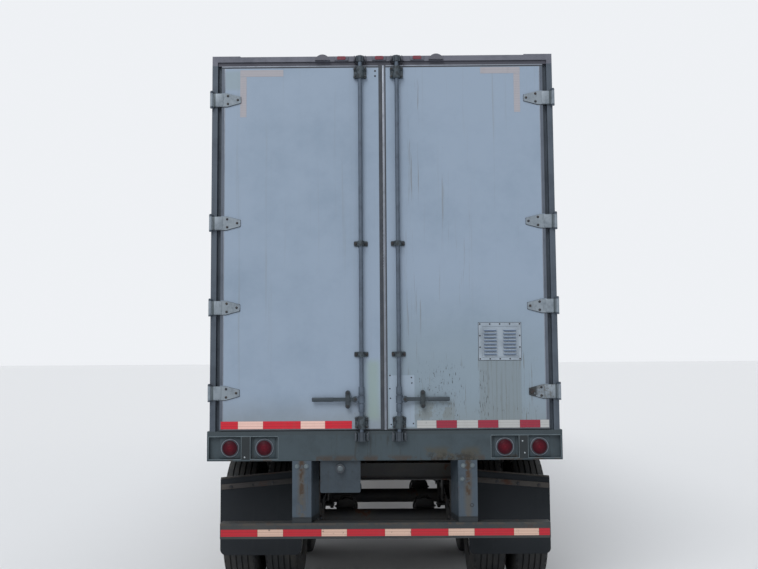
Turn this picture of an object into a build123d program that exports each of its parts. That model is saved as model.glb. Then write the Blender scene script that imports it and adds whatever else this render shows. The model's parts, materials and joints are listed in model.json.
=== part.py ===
"""Dry van semi trailer with two swing doors, a sliding tandem and parking legs.

The origin is on the road under the middle of the body. +Y points to the nose, +X to the right
of someone who stands behind the trailer and faces its doors, and +Z is up. Sizes are millimetres.
"""
from build123d import *
import math
import os

os.makedirs("parts", exist_ok=True)

# Body
body_length = 16154.0
body_height = 4115.0
body_width = 2591.0
sill_proud = 17.5
floor_top = 1300.0
floor_thickness = 35.0
wall_thickness = 50.0
rail_proud = 3.0
corner_radius = 127.0
running_gap = 5.0
fit_gap = 0.3

rear_y = -body_length / 2
nose_y = body_length / 2
sill_x = body_width / 2
rail_x = sill_x - sill_proud
skin_x = rail_x - rail_proud
inner_x = skin_x - wall_thickness
floor_under = floor_top - floor_thickness
nose_inner_y = nose_y - rail_proud - wall_thickness
nose_arc_y = nose_y - rail_proud - corner_radius

# Underframe beams
beam_height = 102.0
beam_flange = 57.0
beam_web = 6.0
beam_pitch = 304.8
beam_start = 190.0
beam_under = floor_under - beam_height

# Side rails, wall sheets and roof
rail_plate = 8.0
bottom_rail_low = 1150.0
bottom_rail_top = 1400.0
top_rail_height = 116.0
splice_width = 60.0
splice_pitch = 1219.2
roof_skin = 4.0
bow_height = 40.0
bow_width = 60.0
bow_plate = 5.0
bow_pitch = 609.6
roof_under = body_height - roof_skin
top_rail_low = roof_under - top_rail_height

# Rear frame
frame_depth = 110.0
frame_plate = 6.0
sill_low = 1101.0
sill_height = 215.0
header_height = 68.0
header_lip = 40.0
header_step = 10.0
header_cap_width = 210.0
header_cap_rise = 6.0
post_width = 67.0
post_flange = 42.0
post_recess = 35.0
body_start = rear_y + frame_depth
sill_top = sill_low + sill_height
header_low = body_height - header_height
opening_height = header_low - sill_top
post_inner_x = rail_x - post_width

# Doors
door_thickness = 45.0
door_proud = 6.0
seal_edge = 3.0
seal_foot = 9.0
seal_head = 18.0
door_meet = 27.0
seal_meet = 4.0
door_face_y = rear_y - door_proud
door_back_y = door_face_y + door_thickness
seal_x = post_inner_x - running_gap
door_x = seal_x - seal_edge
seal_low = sill_top + running_gap
seal_high = header_low - running_gap
door_low = seal_low + seal_foot
door_high = seal_high - seal_head

# Hinges
hinge_shares = (0.097, 0.4387, 0.669, 0.8982)
pin_outboard = 1.5
pin_behind = 18.0
pin_radius = 5.5
pin_head = 8.5
knuckle_radius = 11.0
strap_height = 101.0
strap_plate = 8.0
strap_shoulder = 117.0
strap_reach = 220.0
strap_tip = 46.0
strap_round = 12.0
lug_thickness = 11.0
lug_gap = 1.5
pin_x = rail_x + pin_outboard
pin_y = rear_y - pin_behind
hinge_heights = [header_low - share * opening_height for share in hinge_shares]

# Lock rods with their cams, keepers, guides, handles and catches
lock_places = {
    # door: rod x, handle end x, catch x
    "left": (-165.0, -527.0, -265.0),
    "right": (109.0, 477.0, 282.0),
}
rod_radius = 15.0
rod_off_face = 28.0
rod_end_gap = 7.0
header_keeper = 56.0
sill_keeper = 74.0
keeper_edge = 3.0
keeper_width = 91.0
keeper_plate = 5.0
keeper_reach = 52.0
keeper_ear = 9.0
keeper_round = 14.0
cam_hub = 20.0
cam_half = 29.0
cam_cover = 9.0
cam_edge = 6.0
cam_chamfer = 5.0
cam_gap = 7.0
guide_shares = (0.498, 0.7968)
guide_width = 104.0
guide_height = 38.0
bearing_width = 96.0
bearing_height = 84.0
bearing_edge = 4.0
block_plate = 8.0
block_wall = 9.0
handle_rise = 228.0
handle_height = 28.0
handle_thickness = 12.0
handle_boss_radius = 24.0
handle_boss_reach = 42.0
catch_height = 131.0
catch_width = 34.0
catch_wall = 6.0
guide_heights = [header_low - share * opening_height for share in guide_shares]
rod_y = door_face_y - rod_off_face
keeper_heights = (
    # foot and top
    (body_height - keeper_edge - header_keeper, body_height - keeper_edge),
    (sill_top - 2 * keeper_edge - sill_keeper, sill_top - 2 * keeper_edge),
)
bearing_heights = (
    # foot and top
    (door_high - bearing_edge - bearing_height, door_high - bearing_edge),
    (door_low + bearing_edge, door_low + bearing_edge + bearing_height),
)
rod_low = keeper_heights[1][0] + rod_end_gap
rod_high = keeper_heights[0][1] - rod_end_gap
handle_z = sill_top + handle_rise

# Louvre vent in the right door
vent_inset = 196.0
vent_width = 311.0
vent_share = 0.183
vent_height = 274.0
vent_border = 38.0
vent_plate = 4.0
louvre_rows = 8
louvre_depth = 13.0
louvre_sheet = 2.5
louvre_bar = 50.0

# Lamps and the number plate's bracket
lamp_inset = 165.5
lamp_spacing = 252.0
lamp_rise = 93.0
lens_radius = 51.0
grommet_radius = 65.0
lamp_plate = 8.0
pocket_depth = 30.0
pocket_end = 12.5
pocket_foot = 15.0
pocket_head = 40.0
pocket_divider = 70.0
pocket_width = 201.0
pocket_gap = 4.0
header_lamp_middle = -20.0
header_lamp_spacing = 285.0
header_lamp_size = (64.0, 26.0)
header_dome_spacing = 855.0
header_dome_radius = 56.0
header_dome_rise = 8.0
header_dome_depth = 24.0
header_lamp_depth = 16.0
marker_size = (64.0, 30.0)
marker_depth = 14.0
plate_middle = -323.5
plate_width = 293.0
plate_height = 233.0
plate_sheet = 4.0
plate_setback = 22.0
plate_bolt_spacing = 178.0
plate_bolt_radius = 3.5
plate_bolt_rise = 150.0
plate_lamp_radius = 33.0
plate_lamp_drop = 57.0
plate_lamp_depth = 28.0

# Underride guard
guard_bar_inset = 83.0
guard_bar_low = 545.0
guard_bar_height = 112.0
guard_bar_depth = 100.0
guard_face_low = 700.0
guard_face_plate = 8.0
guard_post_x = 533.0
guard_post_width = 139.0
guard_post_flare = 37.0
guard_post_depth = 230.0

# Twin wheels
tyre_radius = 527.0
tyre_width = 279.0
tread_width = 216.0
tread_crown = 6.0
shoulder_drop = 16.0
shoulder_width = 15.0
bead_radius = 286.0
bead_width = 208.0
dual_spacing = 330.0
track = 1968.0
rim_plate = 9.0
rim_well = 30.0
disc_plate = 12.0
disc_shoulder = 190.0
hand_hole_radius = 32.0
hand_hole_count = 5
hub_radius = 100.0
hub_reach = 120.0
hub_cap_radius = 70.0
hub_cap_depth = 20.0
drum_radius = 209.0
drum_wall = 14.0
drum_depth = 200.0
drum_web = 25.0

# Axles and brakes
rear_overhang = 1067.0
axle_spacing = 1245.0
axle_radius = 64.0
tube_overlap = 10.0
spindle_radius = 42.0
spindle_reach = 100.0
flange_radius = 125.0
flange_plate = 14.0
flange_inset = 70.0
chamber_x = 330.0
chamber_radius = 78.0
chamber_band = 12.0
chamber_length = 190.0
chamber_reach = 150.0
chamber_rise = 50.0
chamber_shelf = 16.0
chamber_plate = 10.0
cam_shaft_radius = 19.0
cam_shaft_y = 98.0
cam_shaft_drop = 60.0
lever_width = 30.0

rear_axle_y = rear_y + rear_overhang
axle_ys = {"rear": rear_axle_y, "front": rear_axle_y + axle_spacing}
axle_mid_y = rear_axle_y + axle_spacing / 2
axle_z = tyre_radius
track_half = track / 2
tube_half = track_half - drum_depth + tube_overlap

# Sliding tandem
slide_x = 560.0
slide_half = 48.0
slide_plate = 10.0
body_rail_inset = 260.0
body_rail_length = 4750.0
body_rail_height = 118.0
pin_hole_radius = 22.0
pin_hole_pitch = 152.4
slide_inset = 430.0
slide_length = 2450.0
slide_height = 140.0
cross_width = 100.0
body_rail_start = rear_y + body_rail_inset
slide_start = rear_y + slide_inset
body_rail_low = beam_under - body_rail_height
slide_low = body_rail_low - slide_height
slide_end = slide_start + slide_length
pocket_half = slide_half - slide_plate

# Springs, hangers and radius rods
seat_half = 90.0
seat_width = 100.0
seat_rise = 22.0
spring_width = 76.0
spring_span = 1040.0
spring_rise = 62.0
leaf_thickness = 16.0
leaf_count = 3
leaf_step = 120.0
clamp_plate = 18.0
hanger_top = 300.0
hanger_foot = 150.0
hanger_rise = 40.0
hanger_outboard = 20.0
wear_pad_half = 45.0
wear_pad_height = 24.0
equaliser_half = 132.0
equaliser_toe = 60.0
equaliser_end = 26.0
equaliser_arch = 18.0
equaliser_middle = 78.0
equaliser_pin = 20.0
equaliser_pin_head = 14.0
radius_rod_radius = 18.0
radius_rod_eye = 28.0
radius_rod_rise = 62.0
radius_rod_pin = 12.0

# Air tanks
tank_radius = 118.0
tank_length = 760.0
tank_spacing = 290.0
tank_end = 45.0
tank_bracket = 12.0
tank_back = 420.0
tank_strap = 44.0
tank_gap = 12.0

# Mud flaps and their bars
flap_inset = 390.0
flap_thickness = 10.0
flap_width = 622.0
flap_outer = 16.0
flap_low = 352.0
flap_corner = 45.0
flap_bar_depth = 26.0
flap_bar_height = 95.0
flap_bar_below = 51.0
flap_bar_drop = 58.0
flap_tuck = 12.0
flap_y = rear_y + flap_inset

# Coupler and kingpin
kingpin_back = 914.0
kingpin_base = 36.5
kingpin_base_drop = 35.0
kingpin_neck = 25.4
kingpin_collar_drop = 70.0
kingpin_collar = 35.7
kingpin_drop = 84.0
coupler_width = 2040.0
coupler_length = 1750.0
coupler_plate = 12.0
coupler_corner = 180.0
coupler_inset = 120.0
kingpin_y = nose_y - kingpin_back
coupler_under = beam_under - coupler_plate

# Parking legs
leg_back = 2743.0
leg_x = 700.0
leg_outer = 140.0
leg_inner = 114.0
leg_wall = 8.0
leg_outer_low = 470.0
leg_overlap = 260.0
leg_mount = 1420.0
foot_width = 260.0
foot_length = 320.0
foot_plate = 14.0
foot_turn = 34.0
foot_rise = 22.0
brace_low = 650.0
brace_half = 26.0
brace_foot = 60.0
brace_gap = 2.0
shaft_radius = 14.0
shaft_z = 1000.0
gear_width = 90.0
gear_length = 160.0
gear_height = 200.0
crank_reach = 330.0
crank_stub = 210.0
crank_grip = 120.0
leg_y = kingpin_y - leg_back
brace_inner_x = leg_x - leg_outer / 2

# Couplings on the nose
service_z = 1480.0
service_width = 520.0
service_height = 160.0
service_plate = 22.0
hand_spacing = 350.0
hand_radius = 34.0
hand_depth = 26.0
hand_neck = 20.0
hand_reach = 30.0
hand_arm = 60.0
socket_radius = 34.0
socket_bore = 22.0
socket_depth = 60.0
socket_bore_depth = 40.0


def finish(piece, label):
    """Labels a finished piece and writes it."""
    piece.part.label = label
    export_step(piece.part, f"parts/{label}.step")


def block(x, y, z, mode=Mode.ADD):
    """Adds a box to the part that is being made, from three pairs of limits."""
    spans = [(min(pair), max(pair)) for pair in (x, y, z)]
    with Locations(tuple((low + high) / 2 for low, high in spans)):
        Box(*[high - low for low, high in spans], mode=mode)


def bar(axis, centre, radius, length, mode=Mode.ADD):
    """Adds a round bar along X, Y or Z to the part that is being made."""
    turn = {"X": (0, 90, 0), "Y": (90, 0, 0), "Z": (0, 0, 0)}[axis]
    with Locations(Location(centre, turn)):
        Cylinder(radius, length, mode=mode)


def across(y):
    """The upright plane across the trailer at y. Extrusions from it run to the rear."""
    return Plane.XZ.offset(-y)


def places(first, last, pitch):
    """Even places from first to last, at about the pitch, both ends kept."""
    steps = max(1, round((last - first) / pitch))
    return [first + (last - first) * step / steps for step in range(steps + 1)]


def nose_plan(half, radius):
    """Draws the nose's plan, ahead of its corner arcs' centres, in the sketch that is being made."""
    front_y = nose_arc_y + radius
    with BuildLine() as outline:
        Line((-half, nose_arc_y), (half, nose_arc_y))
        CenterArc((half - radius, nose_arc_y), radius, 0, 90)
        Line((half - radius, front_y), (radius - half, front_y))
        CenterArc((radius - half, nose_arc_y), radius, 90, 90)
    make_face(outline.edges())


def keeper(low, high):
    """A lock keeper at x 0: a plate on the rear frame with an ear on each side of the cam."""
    middle = (low + high) / 2
    with BuildPart() as piece:
        with BuildSketch(across(rear_y)):
            with Locations((0, middle)):
                RectangleRounded(keeper_width, high - low, keeper_round)
        extrude(amount=keeper_plate)
        for ear_x in (-cam_half - cam_gap - keeper_ear, cam_half + cam_gap):
            with BuildSketch(Plane.YZ.offset(ear_x)) as ear:
                with Locations((rear_y - keeper_reach / 2, middle)):
                    Rectangle(keeper_reach, high - low - keeper_round)
                fillet(ear.vertices().group_by(Axis.X)[0], keeper_round)
            extrude(amount=keeper_ear)
    return piece.part


def rod_block(low, high, width):
    """A pillow block at x 0 on the door's face, bored for the lock rod."""
    with BuildPart() as piece:
        with BuildSketch(across(door_face_y)):
            with Locations((0, (low + high) / 2)):
                RectangleRounded(width, high - low, block_wall)
        extrude(amount=block_plate)
        with BuildSketch(Plane.XY.offset(low)):
            with Locations((0, rod_y)):
                Circle(rod_radius + block_wall)
            with Locations((0, (rod_y + door_face_y) / 2)):
                Rectangle(2 * (rod_radius + block_wall), door_face_y - rod_y)
            with Locations((0, rod_y)):
                Circle(rod_radius + fit_gap, mode=Mode.SUBTRACT)
        extrude(amount=high - low)
    return piece.part


# Floor boards with the nose's rounded corners
with BuildPart() as floor_deck:
    with BuildSketch(Plane.XY.offset(floor_under)) as floor_outline:
        with Locations((0, (body_start + nose_inner_y) / 2)):
            Rectangle(2 * inner_x, nose_inner_y - body_start)
        fillet(floor_outline.vertices().group_by(Axis.Y)[-1], corner_radius - wall_thickness)
    extrude(amount=floor_thickness)
finish(floor_deck, "floor_deck")

# I beams under the floor
beam_ys = places(body_start + beam_start, nose_arc_y - beam_flange / 2, beam_pitch)
beam_z = beam_under + beam_height / 2
beam_side = (beam_flange - beam_web) / 2
with BuildPart() as cross_members:
    with BuildSketch(Plane.YZ.offset(-rail_x + rail_plate)):
        with Locations([(y, beam_z) for y in beam_ys]):
            Rectangle(beam_flange, beam_height)
        with Locations([
            (y + side * (beam_web + beam_side) / 2, beam_z) for y in beam_ys for side in (-1, 1)
        ]):
            Rectangle(beam_side, beam_height - 2 * beam_web, mode=Mode.SUBTRACT)
    extrude(amount=2 * (rail_x - rail_plate))
finish(cross_members, "cross_members")

# Bottom rails: a web over the beams' ends with a hollow box beside the floor
rail_length = nose_arc_y - body_start
rail_mid_x = (inner_x + rail_x) / 2
rail_span = rail_x - inner_x
with BuildPart() as bottom_rails:
    with BuildSketch(across(nose_arc_y)):
        with Locations((rail_x - rail_plate / 2, (bottom_rail_low + bottom_rail_top) / 2)):
            Rectangle(rail_plate, bottom_rail_top - bottom_rail_low)
        with Locations((rail_mid_x, (floor_under + bottom_rail_top) / 2)):
            box_height = bottom_rail_top - floor_under
            Rectangle(rail_span, box_height)
            Rectangle(rail_span - 2 * rail_plate, box_height - 2 * rail_plate, mode=Mode.SUBTRACT)
    extrude(amount=rail_length)
    mirror(about=Plane.YZ)
finish(bottom_rails, "bottom_rails")

# Top rails
with BuildPart() as top_rails:
    with BuildSketch(across(nose_arc_y)):
        with Locations((rail_mid_x, (top_rail_low + roof_under) / 2)):
            Rectangle(rail_span, top_rail_height)
            Rectangle(rail_span - 2 * rail_plate, top_rail_height - 2 * rail_plate, mode=Mode.SUBTRACT)
    extrude(amount=rail_length)
    mirror(about=Plane.YZ)
finish(top_rails, "top_rails")

# Side walls with a raised strip over each joint between the sheets
splice_ys = places(body_start + splice_width / 2, nose_arc_y - splice_width / 2, splice_pitch)
with BuildPart() as side_walls:
    block((inner_x, skin_x), (body_start, nose_arc_y), (bottom_rail_top, top_rail_low))
    for y in splice_ys:
        block(
            (skin_x, rail_x),
            (y - splice_width / 2, y + splice_width / 2),
            (bottom_rail_top, top_rail_low),
        )
    mirror(about=Plane.YZ)
finish(side_walls, "side_walls")

# Roof sheet and the bows that carry it
with BuildPart() as roof_sheet:
    with BuildSketch(Plane.XY.offset(roof_under)) as roof_outline:
        with Locations((0, (body_start + nose_y) / 2)):
            Rectangle(2 * rail_x, nose_y - body_start)
        fillet(roof_outline.vertices().group_by(Axis.Y)[-1], corner_radius + rail_proud)
    extrude(amount=roof_skin)
finish(roof_sheet, "roof_sheet")

bow_ys = places(body_start + bow_pitch, nose_arc_y - bow_width, bow_pitch)
with BuildPart() as roof_bows:
    with BuildSketch(Plane.YZ.offset(-inner_x)):
        with Locations([(y, roof_under - bow_height / 2) for y in bow_ys]):
            Rectangle(bow_width, bow_height)
        with Locations([(y, roof_under - bow_height / 2 - bow_plate) for y in bow_ys]):
            Rectangle(bow_width - 2 * bow_plate, bow_height, mode=Mode.SUBTRACT)
    extrude(amount=2 * inner_x)
finish(roof_bows, "roof_bows")

# Nose wall: a bent shell with rounded corners, and a proud rail round its foot and its top
nose_layers = (
    # half width, corner radius, foot, top
    (skin_x, corner_radius, bottom_rail_low, roof_under),
    (rail_x, corner_radius + rail_proud, bottom_rail_low, bottom_rail_top),
    (rail_x, corner_radius + rail_proud, top_rail_low, roof_under),
)
with BuildPart() as front_wall:
    for half, radius, low, high in nose_layers:
        with BuildSketch(Plane.XY.offset(low)):
            nose_plan(half, radius)
        extrude(amount=high - low)
    with BuildSketch(Plane.XY.offset(bottom_rail_low)):
        nose_plan(inner_x, corner_radius - wall_thickness)
    extrude(amount=roof_under - bottom_rail_low, mode=Mode.SUBTRACT)
finish(front_wall, "front_wall")

# Rear posts: a folded tube with the recess that the hinge straps cross, hinge lugs and pins
lug_offset = strap_height / 2 + lug_gap
with BuildPart() as rear_posts:
    with BuildSketch(Plane.XY.offset(sill_top)):
        with BuildLine():
            Polyline(
                (rail_x, rear_y),
                (rail_x, body_start),
                (post_inner_x, body_start),
                (post_inner_x, rear_y + post_recess),
                (rail_x - post_flange, rear_y + post_recess),
                (rail_x - post_flange, rear_y),
                close=True,
            )
        make_face()
        offset(amount=-frame_plate, kind=Kind.INTERSECTION, mode=Mode.SUBTRACT)
    extrude(amount=header_low - sill_top)
    for height in hinge_heights:
        for low in (height - lug_offset - lug_thickness, height + lug_offset):
            with BuildSketch(Plane.XY.offset(low)):
                with Locations((pin_x, pin_y)):
                    Circle(knuckle_radius)
                with BuildLine():
                    Polyline(
                        (pin_x - knuckle_radius, pin_y),
                        (rail_x, pin_y),
                        (rail_x, rear_y + frame_plate / 2),
                        (pin_x - 2 * knuckle_radius, rear_y + frame_plate / 2),
                        close=True,
                    )
                make_face()
            extrude(amount=lug_thickness)
        bar("Z", (pin_x, pin_y, height), pin_radius, 2 * lug_offset)
        bar("Z", (pin_x, pin_y, height + lug_offset + lug_thickness), pin_head, lug_thickness)
    mirror(about=Plane.YZ)
finish(rear_posts, "rear_posts")

# Header: a channel whose upper lip stands proud, with raised corner caps and the upper lock keepers
rod_xs = [places_of_door[0] for places_of_door in lock_places.values()]
upper_keeper = keeper(*keeper_heights[0])
with BuildPart() as rear_header:
    block((-rail_x, rail_x), (rear_y, body_start), (header_low, body_height))
    block(
        (-rail_x + frame_plate, rail_x - frame_plate),
        (rear_y + header_step + frame_plate, body_start),
        (header_low + frame_plate, body_height - frame_plate),
        mode=Mode.SUBTRACT,
    )
    block(
        (post_flange - rail_x, rail_x - post_flange),
        (rear_y, rear_y + header_step),
        (header_low, body_height - header_lip),
        mode=Mode.SUBTRACT,
    )
    for sign in (-1, 1):
        block(
            (sign * rail_x, sign * (rail_x - header_cap_width)),
            (rear_y, body_start),
            (body_height, body_height + header_cap_rise),
        )
    with Locations([(x, 0, 0) for x in rod_xs]):
        add(upper_keeper)
finish(rear_header, "rear_header")

# Sill: a box beam with two lamp pockets at each end, and the lower lock keepers
pocket_outer = sill_x - pocket_end
pocket_inner = sill_x - lamp_inset - lamp_spacing - pocket_width / 2
divider_x = (sill_x - lamp_inset - lamp_spacing / 2) + pocket_divider / 8
lower_keeper = keeper(*keeper_heights[1])
with BuildPart() as rear_sill:
    block((-sill_x, sill_x), (rear_y, body_start), (sill_low, sill_top))
    for sign in (-1, 1):
        for near, far in (
            (pocket_inner, divider_x - pocket_divider / 2),
            (divider_x + pocket_divider / 2, pocket_outer),
        ):
            block(
                (sign * near, sign * far),
                (rear_y, rear_y + pocket_depth),
                (sill_low + pocket_foot, sill_top - pocket_head),
                mode=Mode.SUBTRACT,
            )
    block(
        (-sill_x + frame_plate, sill_x - frame_plate),
        (rear_y + pocket_depth + frame_plate, body_start),
        (sill_low + frame_plate, sill_top - frame_plate),
        mode=Mode.SUBTRACT,
    )
    with Locations([(x, 0, 0) for x in rod_xs]):
        add(lower_keeper)
finish(rear_sill, "rear_sill")

# Round tail lamps: a plate in the pocket, a rubber ring and a domed lens
lamp_z = sill_low + lamp_rise
lamp_back_y = rear_y + pocket_depth
lamp_face_y = lamp_back_y - lamp_plate
lamp_xs = [sill_x - lamp_inset, sill_x - lamp_inset - lamp_spacing]
lamp_half = (sill_top - pocket_head - sill_low - pocket_foot) / 2 - pocket_gap
lamp_mid_z = (sill_top - pocket_head + sill_low + pocket_foot) / 2
with BuildPart() as tail_lamps:
    for x in lamp_xs:
        block(
            (x - lamp_half, x + lamp_half),
            (lamp_face_y, lamp_back_y),
            (lamp_mid_z - lamp_half, lamp_mid_z + lamp_half),
        )
        with BuildSketch(Plane.XY.offset(lamp_z)):
            with BuildLine():
                Polyline(
                    (x, lamp_face_y),
                    (x + grommet_radius, lamp_face_y),
                    (x + grommet_radius, lamp_face_y - lamp_plate),
                    (x + lens_radius, lamp_face_y - 1.5 * lamp_plate),
                )
                TangentArc(
                    (x, lamp_face_y - 2.4 * lamp_plate),
                    (x + lens_radius, lamp_face_y - 1.5 * lamp_plate),
                    tangent=(1, 0),
                )
                Line((x, lamp_face_y - 2.4 * lamp_plate), (x, lamp_face_y))
            make_face()
        revolve(axis=Axis((x, 0, lamp_z), (0, 1, 0)))
    mirror(about=Plane.YZ)
finish(tail_lamps, "tail_lamps")

# Header lamps: three red markers, and two domed ones that stand over the top edge
header_lamp_z = body_height - header_height / 4
dome_low = body_height - header_height / 2
with BuildPart() as header_lamps:
    with BuildSketch(across(rear_y)):
        with Locations([
            (header_lamp_middle + step * header_lamp_spacing, header_lamp_z) for step in (-1, 0, 1)
        ]):
            RectangleRounded(*header_lamp_size, header_lamp_size[1] / 3)
    extrude(amount=header_lamp_depth)
    for side in (-1, 1):
        x = header_lamp_middle + side * header_dome_spacing / 2
        with BuildSketch(across(rear_y)):
            with BuildLine():
                ThreePointArc(
                    (x - header_dome_radius, dome_low),
                    (x, body_height + header_dome_rise),
                    (x + header_dome_radius, dome_low),
                )
                Line((x + header_dome_radius, dome_low), (x - header_dome_radius, dome_low))
            make_face()
        extrude(amount=header_dome_depth)
finish(header_lamps, "header_lamps")

# Doors: a flat panel each, in a rubber edge
vent_far = door_x - vent_inset
vent_near = vent_far - vent_width
vent_low = door_low + vent_share * (door_high - door_low)
vent_high = vent_low + vent_height
hinge_half = strap_height / 2
for side, sign in (("left", -1), ("right", 1)):
    with BuildPart() as door_panel:
        block((sign * door_meet, sign * door_x), (door_face_y, door_back_y), (door_low, door_high))
        if side == "right":
            block(
                (vent_near + vent_border, vent_far - vent_border),
                (door_face_y, door_back_y),
                (vent_low + vent_border, vent_high - vent_border),
                mode=Mode.SUBTRACT,
            )
    finish(door_panel, f"door_{side}_panel")

    with BuildPart() as door_seal:
        block((sign * seal_meet, sign * seal_x), (door_face_y, door_back_y), (seal_low, seal_high))
        block(
            (sign * door_meet, sign * door_x),
            (door_face_y, door_back_y),
            (door_low, door_high),
            mode=Mode.SUBTRACT,
        )
    finish(door_seal, f"door_{side}_seal")

    # Tapered straps, each with a knuckle round the post's pin
    with BuildPart() as door_hinges:
        for height in hinge_heights:
            with BuildSketch(across(door_face_y)) as strap:
                with BuildLine():
                    Polyline(
                        (pin_x, height - hinge_half),
                        (pin_x - strap_shoulder, height - hinge_half),
                        (pin_x - strap_reach, height - strap_tip / 2),
                        (pin_x - strap_reach, height + strap_tip / 2),
                        (pin_x - strap_shoulder, height + hinge_half),
                        (pin_x, height + hinge_half),
                        close=True,
                    )
                make_face()
                fillet(strap.vertices().group_by(Axis.X)[0], strap_round)
            extrude(amount=strap_plate)
            bar("Z", (pin_x, pin_y, height), knuckle_radius, strap_height)
            bar("Z", (pin_x, pin_y, height), pin_radius + fit_gap, strap_height, mode=Mode.SUBTRACT)
        if side == "left":
            mirror(about=Plane.YZ, mode=Mode.REPLACE)
    finish(door_hinges, f"door_{side}_hinges")

# Lock rods with a cam at each end and the handle, and the blocks that carry them
rod_blocks = [rod_block(z - guide_height / 2, z + guide_height / 2, guide_width) for z in guide_heights]
rod_blocks += [rod_block(low, high, bearing_width) for low, high in bearing_heights]
cam_face_y = rear_y - keeper_plate - cam_gap
for side, (rod_x, handle_end, catch_x) in lock_places.items():
    reach = math.copysign(1, handle_end - rod_x)
    with BuildPart() as lock_rod:
        bar("Z", (rod_x, rod_y, (rod_low + rod_high) / 2), rod_radius, rod_high - rod_low)
        for low, high in keeper_heights:
            with BuildSketch(Plane.XY.offset(low + cam_edge)):
                with Locations((rod_x, rod_y)):
                    Circle(cam_hub)
                with BuildSketch(mode=Mode.PRIVATE) as cam_web:
                    with Locations((rod_x, (rod_y - cam_cover + cam_face_y) / 2)):
                        Rectangle(2 * cam_half, cam_face_y - rod_y + cam_cover)
                    chamfer(cam_web.vertices(), cam_chamfer)
                add(cam_web.sketch)
            extrude(amount=high - low - 2 * cam_edge)
        bar("Z", (rod_x, rod_y, handle_z), handle_boss_radius, 2 * handle_height)
        boss_x = rod_x + reach * handle_boss_reach
        bar("Y", (boss_x, rod_y, handle_z), handle_boss_radius, 2.5 * handle_thickness)
        with BuildSketch(across(rod_y + handle_thickness / 2)):
            with Locations(((rod_x + handle_end) / 2, handle_z)):
                SlotOverall(abs(handle_end - rod_x), handle_height)
        extrude(amount=handle_thickness)
    finish(lock_rod, f"door_{side}_lock_rod")

    catch_depth = door_face_y - rod_y + handle_thickness / 2 + 1 + catch_wall
    with BuildPart() as lock_guides:
        with Locations((rod_x, 0, 0)):
            for piece in rod_blocks:
                add(piece)
        with BuildSketch(across(door_face_y)):
            with Locations((catch_x, handle_z)):
                SlotOverall(catch_height, catch_width, rotation=90)
        extrude(amount=catch_depth)
        block(
            (catch_x - catch_width, catch_x + catch_width),
            (door_face_y - catch_depth + catch_wall, door_face_y - block_plate),
            (handle_z - handle_height / 2 - 1, handle_z + handle_height / 2 + 1),
            mode=Mode.SUBTRACT,
        )
    finish(lock_guides, f"door_{side}_lock_guides")

# Louvre vent: a bordered plate with two columns of hooded slots
louvre_width = (vent_width - 2 * vent_border - louvre_bar) / 2
louvre_pitch = (vent_height - 2 * vent_border) / louvre_rows
vent_mid_x = (vent_near + vent_far) / 2
vent_face_y = door_face_y - vent_plate
hood_y = vent_face_y - louvre_depth
with BuildPart() as door_vent:
    with BuildSketch(across(door_face_y)):
        with Locations((vent_mid_x, (vent_low + vent_high) / 2)):
            RectangleRounded(vent_width, vent_height, vent_plate)
    extrude(amount=vent_plate)
    for column in (-1, 1):
        louvre_x = vent_mid_x + column * (louvre_bar + louvre_width) / 2
        for row in range(louvre_rows):
            foot = vent_low + vent_border + (row + 0.1) * louvre_pitch
            head = foot + 0.65 * louvre_pitch
            block(
                (louvre_x - louvre_width / 2, louvre_x + louvre_width / 2),
                (vent_face_y, door_face_y),
                (foot, head - louvre_sheet),
                mode=Mode.SUBTRACT,
            )
            with BuildSketch(Plane.YZ.offset(louvre_x - louvre_width / 2)):
                with BuildLine():
                    knee = (vent_face_y - 0.8 * louvre_depth, head - 0.25 * louvre_pitch)
                    inner_knee = (knee[0] + louvre_sheet, knee[1] - louvre_sheet / 2)
                    ThreePointArc((vent_face_y, head), knee, (hood_y, foot))
                    Line((hood_y, foot), (hood_y + louvre_sheet, foot))
                    ThreePointArc(
                        (hood_y + louvre_sheet, foot), inner_knee, (vent_face_y, head - louvre_sheet)
                    )
                    Line((vent_face_y, head - louvre_sheet), (vent_face_y, head))
                make_face()
            extrude(amount=louvre_width)
finish(door_vent, "door_right_vent")

# Number plate bracket under the sill, bare, with two bolt holes and a round lamp
plate_y = rear_y + plate_setback + plate_sheet
plate_low = sill_low - plate_height
with BuildPart() as plate_bracket:
    with BuildSketch(across(plate_y)) as plate_outline:
        with Locations((plate_middle, plate_low + plate_height / 2)):
            Rectangle(plate_width, plate_height)
        fillet(plate_outline.vertices().group_by(Axis.Y)[0], 3 * plate_sheet)
        with Locations([
            (plate_middle + side * plate_bolt_spacing / 2, plate_low + plate_bolt_rise)
            for side in (-1, 1)
        ]):
            Circle(plate_bolt_radius, mode=Mode.SUBTRACT)
    extrude(amount=plate_sheet)
    bar(
        "Y",
        (plate_middle, plate_y - plate_sheet - plate_lamp_depth / 2, sill_low - plate_lamp_drop),
        plate_lamp_radius,
        plate_lamp_depth,
    )
finish(plate_bracket, "plate_bracket")

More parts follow.
